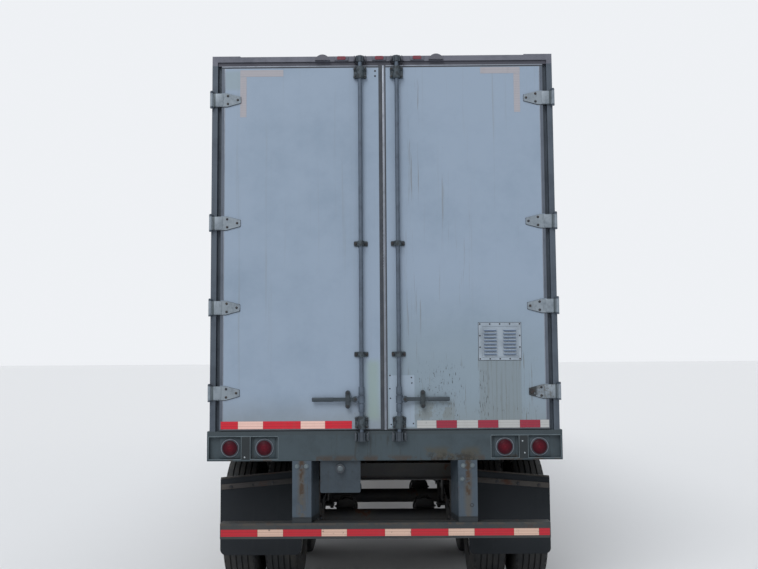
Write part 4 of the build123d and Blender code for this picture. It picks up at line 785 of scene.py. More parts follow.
def makeMixedLamps(name, first, second, axis, low, high):  # one colour below the limits, the other above
    material, tree, place = startMaterial(name)
    value = axisOf(tree, place, axis)
    if axis == "X":  # the header's three red lamps stand about a middle 0.02 to the left
        value = work(tree, "ABSOLUTE", work(tree, "ADD", value, 0.02))
    colour = blendColour(tree, span(tree, value, low, high), first, second)
    dust = lensDust(tree, place)
    colour = blendColour(tree, dust, colour, (96, 88, 84), 0.35)
    return finishMaterial(material, colour, lift(tree, dust, 0.3, 0.22), lensCells(tree, place), 0.2,
                          0.001)


headerLampMix = makeMixedLamps("headerLampMix", (112, 46, 58), (88, 89, 98), "X", 0.34, 0.36)
markerLampMix = makeMixedLamps("markerLampMix", (146, 30, 38), (212, 120, 30), "Y", -5.0, -4.9)


def makeWheelPaint():  # white wheels with brake dust, on bare rusty drums
    material, tree, place = startMaterial("wheelPaint")
    radius = addGroup(tree, axleRings, Vector=place)["Radius"]
    mottle = useGroup(tree, patchField, Vector=place, Scale=9.0, Cut=0.42, Soft=0.3)
    colour = blendColour(tree, mottle, (168, 170, 170), (142, 142, 138))
    film = useGroup(tree, patchField, Vector=place, Scale=6.0, Cut=0.35, Soft=0.4)
    film = work(tree, "MULTIPLY", film, span(tree, radius, 0.12, 0.26, 0.75, 0.35))
    colour = blendColour(tree, film, colour, (98, 88, 74))
    spots = useGroup(tree, patchField, Vector=place, Scale=12.0, Cut=0.6, Soft=0.08)
    tint = noiseOf(tree, place, 45.0, 4.0).outputs["Fac"]
    rusty = blendColour(tree, tint, (96, 54, 32), (54, 36, 28))
    sideways = work(tree, "ABSOLUTE", axisOf(tree, place, "X"))
    drum = span(tree, radius, 0.211, 0.213, 1.0, 0.0)
    drum = work(tree, "MULTIPLY", drum, span(tree, sideways, 0.970, 0.972, 1.0, 0.0))
    colour = blendColour(tree, spots, colour, rusty, 0.9)
    colour = blendColour(tree, drum, colour, blendColour(tree, tint, (58, 44, 36), (30, 28, 28)))
    rough = work(tree, "MAXIMUM", spots, drum)
    height = lift(tree, rough, 0.7, useGroup(tree, fineGrain, Vector=place))
    return finishMaterial(material, colour, lift(tree, rough, 0.35, 0.45), height, 0.2)


wheelPaint = makeWheelPaint()

sidewall = {
    # radius and half width of each moulded ring, then the band of short ribs
    "rings": ((0.318, 0.004), (0.338, 0.002), (0.402, 0.003), (0.452, 0.002), (0.487, 0.003)),
    "ribs": 144, "ribBand": (0.456, 0.459, 0.480, 0.483),
}


def makeTyreRubber():  # dusty rubber, with moulded rings and short ribs on the sidewall
    material, tree, place = startMaterial("tyreRubber")
    rings = addGroup(tree, axleRings, Vector=place)
    radius = rings["Radius"]
    mottle = useGroup(tree, patchField, Vector=place, Scale=12.0, Cut=0.4, Soft=0.3)
    colour = blendColour(tree, mottle, (27, 30, 33), (37, 38, 38))
    film = useGroup(tree, patchField, Vector=place, Scale=3.0, Cut=0.4, Soft=0.35)
    film = work(tree, "MULTIPLY", film, span(tree, radius, 0.33, 0.5, 0.6, 0.35))
    colour = blendColour(tree, film, colour, (76, 72, 66))
    wall = None
    for middle, half in sidewall["rings"]:
        away = work(tree, "ABSOLUTE", work(tree, "SUBTRACT", radius, middle))
        ring = span(tree, away, half * 0.6, half, 1.0, 0.0)
        wall = ring if wall is None else work(tree, "MAXIMUM", wall, ring)
    beat = work(tree, "SINE", work(tree, "MULTIPLY", rings["Turn"], 2 * math.pi * sidewall["ribs"]))
    starts, full, fades, ends = sidewall["ribBand"]
    band = work(tree, "MULTIPLY", span(tree, radius, starts, full), span(tree, radius, fades, ends, 1.0, 0.0))
    ribs = work(tree, "MULTIPLY", span(tree, beat, 0.0, 0.5), band)
    wall = work(tree, "MAXIMUM", wall, ribs)
    colour = blendColour(tree, wall, colour, (64, 62, 58), 0.35)
    height = useGroup(tree, fineGrain, Vector=place, Fine=420.0, Coarse=60.0, Waves=0.8)
    height = lift(tree, wall, 1.5, work(tree, "MULTIPLY", height, 0.3))
    return finishMaterial(material, colour, lift(tree, film, 0.12, 0.74), height, 0.5)


tyreRubber = makeTyreRubber()


def makeCouplingAlloy():  # cast couplings: one red, one blue, with a plain panel and socket between them
    material, tree, place = startMaterial("couplingAlloy")
    proud = span(tree, axisOf(tree, place, "Y"), 8.13, 8.134)
    across = axisOf(tree, place, "X")
    red = work(tree, "MULTIPLY", proud, span(tree, across, 0.08, 0.09))
    blue = work(tree, "MULTIPLY", proud, span(tree, across, -0.09, -0.08, 1.0, 0.0))
    mottle = useGroup(tree, patchField, Vector=place, Scale=14.0, Cut=0.45, Soft=0.25)
    colour = blendColour(tree, mottle, (150, 156, 160), (116, 120, 122))
    colour = blendColour(tree, red, colour, (150, 36, 34))
    colour = blendColour(tree, blue, colour, (34, 66, 128))
    height = useGroup(tree, fineGrain, Vector=place, Fine=420.0, Waves=0.5)
    return finishMaterial(material, colour, lift(tree, mottle, 0.2, 0.4), height, 0.2, 0.001, Metallic=0.3)


couplingAlloy = makeCouplingAlloy()

# carried-over nodes by the finish they get
finishes = (
    (leftDoorPaint, ("door_left_panel",)), (rightDoorPaint, ("door_right_panel",)),
    (wallPaint, ("front_wall", "side_walls")), (roofAlloy, ("roof_sheet",)),
    (railAlloy, ("bottom_rails", "top_rails")), (floorBoards, ("floor_deck",)),
    (beamPaint, ("cross_members", "roof_bows")), (postSteel, ("rear_posts",)),
    (headerSteel, ("rear_header",)), (sillSteel, ("rear_sill",)),
    (hingeAlloy, ("door_left_hinges", "door_right_hinges")), (ventPaint, ("door_right_vent",)),
    (lockSteel, ("door_left_lock_rod", "door_right_lock_rod")),
    (castSteel, ("door_left_lock_guides", "door_right_lock_guides")),
    (sealRubber, ("door_left_seal", "door_right_seal")),
    (lensRed, ("tail_lamps",)), (headerLampMix, ("header_lamps",)), (markerLampMix, ("marker_lamps",)),
    (plateGrey, ("plate_bracket",)), (guardGrey, ("guard_posts",)), (guardBlack, ("guard_bar",)),
    (flapBarSteel, ("flap_bars",)), (flapRubber, ("mud_flaps",)), (couplingAlloy, ("service_panel",)),
    (chassisBlack, ("air_tanks", "axles", "brake_chambers", "coupler", "landing_braces", "landing_crank",
                    "landing_feet", "landing_legs", "leaf_springs", "radius_rods", "slider_frame",
                    "slider_rails", "spring_hangers")),
    (wheelPaint, ["wheels_" + axle + "_" + side for axle in axles for side in sides]),
    (tyreRubber, ["tyres_" + axle + "_" + side for axle in axles for side in sides]),
)
finishOf = {name: material for material, names in finishes for name in names}
for name, node in nodes.items():
    node.data.materials.clear()
    node.data.materials.append(finishOf[name])
print("nodes finished")


# Tape and corner marks, laid over the trims at the doors' edges

tapes = {
    "leftDoorTape": {
        "body": "door_left", "z": (1.332, 1.388), "face": doorFace, "thick": 0.0015,
        "cuts": (-1.196, -1.069, -0.886, -0.611, -0.433, -0.236),
        "finishes": (tapeRed, tapeWhite), "first": 0,
    },
    "rightDoorTape": {
        "body": "door_right", "z": (1.332, 1.388), "face": doorFace, "thick": 0.0015,
        "cuts": (0.238, 0.379, 0.529, 0.682, 0.831, 0.987, 1.136, 1.201),
        "finishes": (tapeRedWorn, tapeWhiteWorn), "first": 1,
    },
    "guardTape": {
        "body": "chassis", "z": (0.563, 0.613), "face": guardFace, "thick": 0.0008,
        "cuts": (-1.19, -0.923, -0.738, -0.46, -0.276, -0.001, 0.187, 0.457, 0.645, 0.93, 1.11, 1.19),
        "finishes": (guardTapeRed, guardTapeWhite), "first": 0,
    },
}
tapeGap = 0.0006  # between a strip and its cut


def layTape(name, tape):
    strips = []
    low, high = tape["z"]
    for number, (start, end) in enumerate(zip(tape["cuts"], tape["cuts"][1:])):
        strip = addBlock((start + tapeGap, tape["face"] - tape["thick"], low),
                         (end - tapeGap, tape["face"], high))
        for material in tape["finishes"]:
            strip.data.materials.append(material)
        for polygon in strip.data.polygons:
            polygon.material_index = (number + tape["first"]) % 2
        strips.append(softenEdges(strip, tape["thick"] * 0.3, 1))
    piece = joinAll(strips)
    piece.name = piece.data.name = name
    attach(piece, tape["body"])


for name, tape in tapes.items():
    layTape(name, tape)

cornerMarks = {
    "thick": 0.0008, "soft": 0.0003,
    "left": (((-1.066, 3.961), (-0.742, 4.012)), ((-1.066, 3.651), (-1.019, 3.959))),
    "right": (((0.739, 3.972), (1.036, 4.021)), ((0.988, 3.675), (1.034, 3.97))),
}
for side in sides:
    strips = []
    for (x1, z1), (x2, z2) in cornerMarks[side]:
        strip = addBlock((x1, doorFace - cornerMarks["thick"], z1), (x2, doorFace, z2))
        strips.append(softenEdges(strip, cornerMarks["soft"], 1))
    handOver(joinAll(strips), side + "CornerMark", "door_" + side, markCream)

sideTape = {"z": (1.262, 1.312), "thick": 0.0008, "soft": 0.0002, "from": -7.9, "groups": 17, "pitch": 0.93,
            "strips": (("sideTapeRed", tapeRed, 0.0, 0.28), ("sideTapeWhite", tapeWhite, 0.28, 0.46))}
for name, material, start, end in sideTape["strips"]:
    low, high = sideTape["z"]
    strip = addBlock((wallFace, sideTape["from"] + start + tapeGap, low),
                     (wallFace + sideTape["thick"], sideTape["from"] + end - tapeGap, high))
    strip = softenEdges(strip, sideTape["soft"], 1)
    strip = repeat(strip, sideTape["groups"], (0, sideTape["pitch"], 0))
    handOver(mirrorAcross(strip), name, "chassis", material)
print("tape and marks laid")


# Rivets and bolts

def readTowards(towards):  # "-Y" gives the axis, its number and the sign
    return towards[-1], "XYZ".index(towards[-1]), -1 if towards[0] == "-" else 1


rivetShape = {"sides": 8, "inset": 0.45, "drop": 0.55}  # parts of the radius and of the height


def makeRivet(centre, radius, proud, towards):  # a flat dome with its base left open against the sheet
    axis, index, sign = readTowards(towards)
    middle = list(centre)
    middle[index] += sign * proud / 2
    rivet = addBarrel(middle, radius, proud, axis, rivetShape["sides"])
    outer = centre[index] + sign * proud
    pick(rivet, "FACE", lambda face: abs(face.center[index] - outer) < 1e-5 and abs(face.normal[index]) > 0.9)
    bpy.ops.mesh.inset(thickness=radius * rivetShape["inset"], depth=0)
    leaveEdit()
    pick(rivet, "EDGE", lambda edge: all(
        abs(rivet.data.vertices[v].co[index] - outer) < 1e-5
        and (rivet.data.vertices[v].co - Vector(centre)).length > radius * 0.9 for v in edge.vertices))
    move = [0, 0, 0]
    move[index] = -sign * proud * rivetShape["drop"]
    bpy.ops.transform.translate(value=move)
    leaveEdit()
    pick(rivet, "FACE", lambda face: abs(face.center[index] - centre[index]) < 1e-5)
    bpy.ops.mesh.delete(type="FACE")
    leaveEdit()
    return rivet


sideRivets = {"radius": 0.007, "proud": 0.003, "sheets": 14, "firstSeam": -7.937, "seamPitch": 1.21954,
              "low": 1.43, "rows": 40, "rowPitch": 0.0645, "offset": 0.019}
rivet = makeRivet((wallFace, sideRivets["firstSeam"] - sideRivets["offset"], sideRivets["low"]),
                  sideRivets["radius"], sideRivets["proud"], "+X")
rivet = repeat(rivet, 2, (0, 2 * sideRivets["offset"], 0))
rivet = repeat(rivet, sideRivets["sheets"], (0, sideRivets["seamPitch"], 0))
rivet = repeat(rivet, sideRivets["rows"], (0, 0, sideRivets["rowPitch"]))
handOver(mirrorAcross(rivet), "seamRivets", "chassis", rivetAlloy)

rivetRows = {
    # each row's first rivet, the way its rivets stand, their size, how many and the step between them
    "railRivets": {"starts": [(wallFace, -7.93, z) for z in (1.386, 1.166, 4.011)], "towards": "+X",
                   "radius": 0.0075, "proud": 0.0035, "count": 160, "step": (0, 0.0992, 0)},
    "roofRivets": {"starts": [(1.255, -7.9, roofTop)], "towards": "+Z",
                   "radius": 0.007, "proud": 0.003, "count": 127, "step": (0, 0.125, 0)},
    "noseRivets": {"starts": [(0.04, noseFace, z) for z in (1.386, 1.166, 4.011)], "towards": "+Y",
                   "radius": 0.0075, "proud": 0.0035, "count": 11, "step": (0.1, 0, 0)},
}
for name, row in rivetRows.items():
    rivets = [repeat(makeRivet(start, row["radius"], row["proud"], row["towards"]), row["count"], row["step"])
              for start in row["starts"]]
    handOver(mirrorAcross(joinAll(rivets)), name, "chassis", rivetAlloy)

noseSeams = {"back": noseFace - 0.003, "front": noseFace - 0.0005, "half": 0.03, "x": 0.41,
             "z": (1.402, 3.994), "soft": 0.001, "offset": 0.018, "radius": 0.006, "proud": 0.0025,
             "lowest": 0.05, "pitch": 0.08, "count": 32}
low, high = noseSeams["z"]
strip = addBlock((noseSeams["x"] - noseSeams["half"], noseSeams["back"], low),
                 (noseSeams["x"] + noseSeams["half"], noseSeams["front"], high))
strip = softenEdges(strip, noseSeams["soft"], 1)
rivet = makeRivet((noseSeams["x"] - noseSeams["offset"], noseSeams["front"], low + noseSeams["lowest"]),
                  noseSeams["radius"], noseSeams["proud"], "+Y")
rivet = repeat(rivet, 2, (2 * noseSeams["offset"], 0, 0))
rivet = repeat(rivet, noseSeams["count"], (0, 0, noseSeams["pitch"]))
handOver(mirrorAcross(joinAll([strip, rivet])), "noseSeams", "chassis", wallPaint)
print("rivets set")

hexShape = {"washer": 1.3, "washerDeep": 0.24, "headDeep": 0.8, "soft": 0.12}  # parts of the bolt's sizes
# places and radii of a carriage bolt's low dome, as parts of its height and radius
domeShape = ((0, 1.0), (0.35, 0.97), (0.7, 0.72), (0.93, 0.38), (1.0, 0.001))


def makeHexBolt(centre, across, proud, towards):  # a hexagon head on a washer
    axis, index, sign = readTowards(towards)
    base, head = list(centre), list(centre)
    base[index] += sign * proud * hexShape["washerDeep"] / 2
    head[index] += sign * proud * (1 - hexShape["headDeep"] / 2)
    disc = addBarrel(base, across / 2 * hexShape["washer"], proud * hexShape["washerDeep"], axis, 16)
    hexagon = addBarrel(head, across / 2, proud * hexShape["headDeep"], axis, 6)
    return joinAll([disc, softenEdges(hexagon, proud * hexShape["soft"], 1, 40)])


def makeRoundBolt(centre, radius, proud, towards):
    axis, _, sign = readTowards(towards)
    points = [(sign * proud * step, radius * width) for step, width in domeShape]
    return spinOutline(points, centre, axis, 14)


def copyAlong(master, places):  # the master stands at the first place
    return copyTo(master, [[b - a for a, b in zip(places[0], place)] for place in places[1:]])


def setBolts(maker, places, *sizes):
    return copyAlong(maker(places[0], *sizes), places)


# Hinges

hingeParts = {
    "heights": (3.7821, 2.8489, 2.22, 1.594), "rootX": (1.193, 1.262), "rootHalf": 0.0475,
    "rootProud": 0.0035, "rootTaper": 0.93, "rootSoft": 0.0015, "boltRise": 0.030, "boltRadius": 0.0095,
    "boltProud": 0.005,
    "shoulderX": {"left": 1.157, "right": 1.148}, "tipX": {"left": 1.083, "right": 1.078},
    "padX": (1.0575, 1.1625, 1.2045), "padHalf": (0.0245, 0.052), "padLower": 0.003, "padSoft": 0.0008,
    "padY": (doorFace - 0.0018, doorFace + 0.0004), "newBolt": (0.03, 0.009),
}
for side, sign in sides.items():
    roots, pads, places = [], [], []
    tipX, shoulderX = sign * hingeParts["tipX"][side], sign * hingeParts["shoulderX"][side]
    for height in hingeParts["heights"]:
        low, high = sorted(sign * x for x in hingeParts["rootX"])
        root = addBlock((low, strapFace - hingeParts["rootProud"], height - hingeParts["rootHalf"]),
                        (high, strapFace, height + hingeParts["rootHalf"]))
        outer = sign * hingeParts["rootX"][1]
        pick(root, "VERT", lambda v: abs(v.co.x - outer) > 0.01 and v.co.y < strapFace - 0.001)
        bpy.ops.transform.resize(value=(1, 1, hingeParts["rootTaper"]), center_override=(0, 0, height))
        leaveEdit()
        roots.append(softenEdges(root, hingeParts["rootSoft"], 2))

        # a dark pad round the strap, with more of it below, that stands in for the shadow under the strap:
        # painted shade
        tip, shoulder, edge = (sign * x for x in hingeParts["padX"])
        low, high = sorted((shoulder, edge))
        half, foot = hingeParts["padHalf"][1], hingeParts["padLower"]
        pad = addBlock((low, hingeParts["padY"][0], height - half - foot),
                       (high, hingeParts["padY"][1], height + half))
        pick(pad, "FACE", lambda face: face.normal.x * sign < -0.9)
        bpy.ops.mesh.extrude_region_move(TRANSFORM_OT_translate={"value": (tip - shoulder, 0, 0)})
        bpy.ops.transform.resize(value=(1, 1, hingeParts["padHalf"][0] / half),
                                 center_override=(0, 0, height))
        leaveEdit()
        pads.append(softenEdges(pad, hingeParts["padSoft"], 2))
        places += [(shoulderX, strapFace, height + hingeParts["boltRise"]),
                   (shoulderX, strapFace, height - hingeParts["boltRise"]), (tipX, strapFace, height)]
    handOver(joinAll(roots), side + "HingeRoots", "door_" + side, hingeAlloy, slot="alloy")
    handOver(joinAll(pads), side + "HingeSealant", "door_" + side, sealRubber, slot="seal_rubber")
    bolts = setBolts(makeRoundBolt, places, hingeParts["boltRadius"], hingeParts["boltProud"], "-Y")
    if side == "right":  # the lowest right hinge has one larger, newer bolt
        place = (tipX, strapFace, hingeParts["heights"][3])
        bolts = joinAll([bolts, makeHexBolt(place, *hingeParts["newBolt"], "-Y")])
    handOver(bolts, side + "HingeBolts", "door_" + side, boltSteel)

# trims down the doors' outer edges, over the top and where the doors meet
doorTrims = {
    "edge": (1.184, 1.2045), "line": (1.179, 1.184), "low": 1.3305, "high": 4.0235, "strapHalf": 0.0555,
    "top": (4.0335, 4.0412), "topX": (0.0275, 1.2055), "meet": (0.001, 0.0175), "lip": (-0.0265, -0.0008),
    "meetZ": (1.322, 4.041), "proud": 0.0007, "lineProud": 0.0012, "lipProud": 0.0016,
    "soft": 0.0002, "lineSoft": 0.0005, "lipSoft": 0.0006,
}


def addTrim(xs, zs, proud, soft, segments=2):
    near, far = sorted(xs)
    strip = addBlock((near, doorFace - proud, zs[0]), (far, doorFace, zs[1]))
    return softenEdges(strip, soft, segments)


lineSizes = (doorTrims["lineProud"], doorTrims["lineSoft"])
lipSizes = (doorTrims["lipProud"], doorTrims["lipSoft"])
for side, sign in sides.items():
    edges, pale = [], []
    breaks = [doorTrims["high"]]  # the trims stop above and below each strap
    for height in hingeParts["heights"]:
        breaks += [height + doorTrims["strapHalf"], height - doorTrims["strapHalf"]]
    breaks.append(doorTrims["low"])
    for high, low in zip(breaks[::2], breaks[1::2]):
        edgeXs, lineXs = ([sign * x for x in doorTrims[key]] for key in ("edge", "line"))
        edges.append(addTrim(edgeXs, (low, high), doorTrims["proud"], doorTrims["soft"], 1))
        pale.append(addTrim(lineXs, (low, high), *lineSizes))
    pale.append(addTrim([sign * x for x in doorTrims["topX"]], doorTrims["top"], *lineSizes))
    if side == "right":
        pale.append(addTrim(doorTrims["meet"], doorTrims["meetZ"], *lipSizes))
    else:
        lip = addTrim(doorTrims["lip"], doorTrims["meetZ"], *lipSizes)
        handOver(lip, "leftSealLip", "door_left", sealRubber, slot="seal_rubber")
    handOver(joinAll(edges), side + "EdgeTrim", "door_" + side, trimAlloy, slot="alloy")
    handOver(joinAll(pale), side + "PaleTrim", "door_" + side, paleTrim, slot="alloy")
print("hinges dressed")


# Lock rods, castings and catches

lockParts = {
    "handleEnd": {"left": -0.527, "right": 0.477}, "catch": {"left": -0.265, "right": 0.282},
    "rodY": -8.111, "handleZ": 1.544, "catchFace": -8.124, "bossFace": -8.1295, "bossAway": 0.042,
    "guideHeights": (2.687, 1.871), "guideBolt": (0.017, 0.008), "guideAway": 0.039, "guideProud": 0.008,
    "catchBolt": (0.016, 0.006), "catchRise": 0.047, "catchProud": 0.0026, "bossBolt": (0.018, 0.005),
    "collarRise": 0.062, "grip": {"length": 0.16, "deep": 0.008, "half": 0.0155, "soft": 0.006},
}
bearing = {
    "heights": (3.978, 1.376), "half": (0.048, 0.04), "plateY": (-0.017, -0.0075), "taper": 0.8,
    "plateSoft": 0.0045, "lobe": (0.038, 0.03), "lobeY": -0.014, "lobeSize": (0.0125, 0.02),
    "lobeSoft": 0.003, "boltY": -0.024, "bolt": (0.007, 0.004), "squash": 0.815,
}
# outlines of place along the axis and radius
barrelOutline = [(-0.046, 0.02), (-0.046, 0.0265), (-0.04, 0.029), (-0.012, 0.029), (-0.009, 0.0245),
                 (0.009, 0.0245), (0.012, 0.029), (0.04, 0.029), (0.046, 0.0265), (0.046, 0.02)]
collarOutline = [(-0.03, 0.0151), (-0.03, 0.0205), (-0.024, 0.0215), (0.024, 0.0215), (0.03, 0.0205),
                 (0.03, 0.0151)]
lugOutline = [(0.0, 0.001), (0.0, 0.017), (0.002, 0.019), (0.006, 0.019), (0.006, 0.001)]


def makeBearing(rodX, height):  # a tapered plate with four lobes and a flattened barrel round the rod
    wide, tall = bearing["half"]
    near, far = bearing["plateY"]
    plate = addBlock((rodX - wide, doorFace + near, height - tall),
                     (rodX + wide, doorFace + far, height + tall))
    pick(plate, "VERT", lambda v: v.co.z > height and abs(v.co.x - rodX) > 0.01)
    bpy.ops.transform.resize(value=(bearing["taper"], 1, 1), center_override=(rodX, 0, 0))
    leaveEdit()
    made = [softenEdges(plate, bearing["plateSoft"], 2)]
    away, rise = bearing["lobe"]
    corners = [(rodX + x, height + z) for x in (-away, away) for z in (-rise, rise)]
    for x, z in corners:
        lobe = addBarrel((x, doorFace + bearing["lobeY"], z), *bearing["lobeSize"], "Y", 14)
        made.append(softenEdges(lobe, bearing["lobeSoft"], 2))
    centre = (rodX, lockParts["rodY"], height)
    barrel = spinOutline(barrelOutline, centre, "Z", 24)
    pick(barrel, "VERT", lambda v: True)
    bpy.ops.transform.resize(value=(1, bearing["squash"], 1), center_override=centre)
    leaveEdit()
    places = [(x, doorFace + bearing["boltY"], z) for x, z in corners]
    return made + [barrel], setBolts(makeRoundBolt, places, *bearing["bolt"], "-Y")


catchShape = {"lobeRise": 0.0465, "lobeY": -0.001, "lobe": (0.0185, 0.0035), "half": (0.0145, 0.047),
              "y": (-0.0022, 0.0005), "soft": 0.001}


def makeCatchFace(x, z):  # two round lobes joined by a bar
    face, (wide, tall), (near, far) = lockParts["catchFace"], catchShape["half"], catchShape["y"]
    made = [addBarrel((x, face + catchShape["lobeY"], z + rise), *catchShape["lobe"], "Y", 20)
            for rise in (catchShape["lobeRise"], -catchShape["lobeRise"])]
    made.append(addBlock((x - wide, face + near, z - tall), (x + wide, face + far, z + tall)))
    return joinAll([softenEdges(item, catchShape["soft"], 2) for item in made])


for side, rodX in lockXs.items():
    rodY, handleZ = lockParts["rodY"], lockParts["handleZ"]
    catchX, handleEnd = lockParts["catch"][side], lockParts["handleEnd"][side]
    guidePlaces = [(rodX + away * lockParts["guideAway"], doorFace - lockParts["guideProud"], z)
                   for z in lockParts["guideHeights"] for away in (-1, 1)]
    catchPlaces = [(catchX, lockParts["catchFace"] - lockParts["catchProud"], handleZ + rise)
                   for rise in (lockParts["catchRise"], -lockParts["catchRise"])]
    bolts = [setBolts(makeHexBolt, guidePlaces, *lockParts["guideBolt"], "-Y"),
             setBolts(makeHexBolt, catchPlaces, *lockParts["catchBolt"], "-Y")]
    castings = []
    for height in bearing["heights"]:
        made, cornerBolts = makeBearing(rodX, height)
        castings += made
        bolts.append(cornerBolts)
    handOver(joinAll(castings), side + "BearingCastings", "door_" + side, castSteel, slot="lock_steel")
    handOver(makeCatchFace(catchX, handleZ), side + "CatchFace", "door_" + side, castSteel, slot="lock_steel")

    reach = -1 if handleEnd < rodX else 1
    boss = (rodX + reach * lockParts["bossAway"], lockParts["bossFace"], handleZ)
    handle = [spinOutline(collarOutline, (rodX, rodY, handleZ + away * lockParts["collarRise"]), "Z", 24)
              for away in (-1, 1)]
    handle.append(spinOutline(lugOutline, boss, "Y", 24))
    grip = lockParts["grip"]
    near, far = sorted((handleEnd, handleEnd - reach * grip["length"]))
    block = addBlock((near, rodY - grip["deep"], handleZ - grip["half"]),
                     (far, rodY + grip["deep"], handleZ + grip["half"]))
    handle.append(softenEdges(block, grip["soft"], 3))
    handOver(joinAll(handle), side + "HandleParts", "door_" + side, lockSteel, slot="lock_steel")
    bolts.append(makeHexBolt(boss, *lockParts["bossBolt"], "-Y"))
    handOver(joinAll(bolts), side + "LockBolts", "door_" + side, boltSteel)

# weld beads that hold the keepers to the header and the sill
keeperWelds = {"away": 0.0465, "radius": 0.0035, "spans": ((4.080, 4.110), (1.243, 1.304)), "end": 0.0012,
               "endDeep": 0.001}
beads = []
for rodX in lockXs.values():
    for away in (-1, 1):
        for low, high in keeperWelds["spans"]:
            place = (rodX + away * keeperWelds["away"], sillFace - 0.0005, (low + high) / 2)
            bead = addBarrel(place, keeperWelds["radius"], high - low, "Z", 10)
            pick(bead, "FACE", lambda face: abs(face.normal.z) > 0.9)
            bpy.ops.mesh.inset(thickness=keeperWelds["end"], depth=keeperWelds["endDeep"],
                               use_individual=True)
            leaveEdit()
            beads.append(bead)
handOver(joinAll(beads), "keeperWelds", "chassis", headerSteel)

# bezels round the three lamps in the header
headerBezels = {"x": (-0.305, -0.02, 0.265), "z": 4.0965, "half": (0.0525, 0.017), "proud": 0.007,
                "inset": 0.004, "rise": 0.002, "soft": 0.002}
bezels = []
wide, tall = headerBezels["half"]
for x in headerBezels["x"]:
    bezel = addBlock((x - wide, sillFace - headerBezels["proud"], headerBezels["z"] - tall),
                     (x + wide, sillFace + 0.0005, headerBezels["z"] + tall))
    pick(bezel, "FACE", lambda face: face.normal.y < -0.9)
    bpy.ops.mesh.inset(thickness=headerBezels["inset"], depth=headerBezels["rise"])
    leaveEdit()
    bezels.append(softenEdges(bezel, headerBezels["soft"], 2))
handOver(joinAll(bezels), "headerLampBezels", "chassis", headerSteel, slot="frame_steel")

# small fasteners in the doors' sheets: radius, height and places across and up
doorStuds = {
    "left": (0.007, 0.004, ((-0.052, 3.998), (-0.052, 3.959))),
    "right": (0.0055, 0.003, ((0.043, 1.716), (0.2, 1.7), (0.046, 1.55), (0.05, 1.36), (0.212, 1.366),
                              (0.042, 1.62), (0.203, 1.66))),
}
for side, (radius, proud, spots) in doorStuds.items():
    places = [(x, doorFace, z) for x, z in spots]
    studs = setBolts(makeRoundBolt, places, radius, proud, "-Y")
    handOver(studs, side + "DoorStuds", "door_" + side, boltSteel)
print("locks dressed")


# Vent

def makeFrame(xs, zs, wide, depth, soft):  # four strips whose outer edges are the two ranges
    (x1, x2), (z1, z2) = xs, zs
    strips = [
        addBlock((x1, depth[0], z1), (x2, depth[1], z1 + wide)),
        addBlock((x1, depth[0], z2 - wide), (x2, depth[1], z2)),
        addBlock((x1, depth[0], z1 + wide), (x1 + wide, depth[1], z2 - wide)),
        addBlock((x2 - wide, depth[0], z1 + wide), (x2, depth[1], z2 - wide)),
    ]
    return joinAll([softenEdges(strip, soft, 2) for strip in strips])


def placesAround(xs, zs, across, down, y):  # evenly round a rectangle, its corners included
    (x1, x2), (z1, z2) = xs, zs
    places = []
    for step in range(across):
        x = x1 + (x2 - x1) * step / (across - 1)
        places += [(x, y, z1), (x, y, z2)]
    for step in range(1, down - 1):
        z = z1 + (z2 - z1) * step / (down - 1)
        places += [(x1, y, z), (x2, y, z)]
    return places


ventParts = {
    "x": (0.696, 1.007), "z": (1.823, 2.097), "inset": 0.0095, "across": 5, "down": 4,
    "rivet": (0.006, 0.0022), "rim": 0.003,
    "sealant": {"wide": 0.015, "depth": (doorFace - 0.0016, doorFace + 0.0002), "soft": 0.0005},
}
insetXs = (ventParts["x"][0] + ventParts["inset"], ventParts["x"][1] - ventParts["inset"])
insetZs = (ventParts["z"][0] + ventParts["inset"], ventParts["z"][1] - ventParts["inset"])
places = placesAround(insetXs, insetZs, ventParts["across"], ventParts["down"], ventFace)
handOver(setBolts(makeRivet, places, *ventParts["rivet"], "-Y"), "ventRivets", "door_right", boltSteel)

# dark sealant that shows all round the vent's plate, and the ridge pressed in the plate
(x1, x2), (z1, z2), rim = ventParts["x"], ventParts["z"], ventParts["rim"]
sealant = makeFrame((x1 - rim, x2 + rim), (z1 - rim, z2 + rim), **ventParts["sealant"])
handOver(sealant, "ventSealant", "door_right", sealRubber, slot="seal_rubber")
ventRidge = {"xs": (0.717, 0.9865), "zs": (1.8455, 2.0745), "wide": 0.0045,
             "depth": (ventFace - 0.0034, ventFace + 0.0004), "soft": 0.0006}
handOver(makeFrame(**ventRidge), "ventRidge", "door_right", ventPaint, slot="alloy")
print("vent dressed")


# Tail lamps

tailLamps = {"back": doorFace + 0.036, "front": doorFace + 0.028, "half": 0.076, "z": (1.12, 1.272),
             "soft": 0.002}
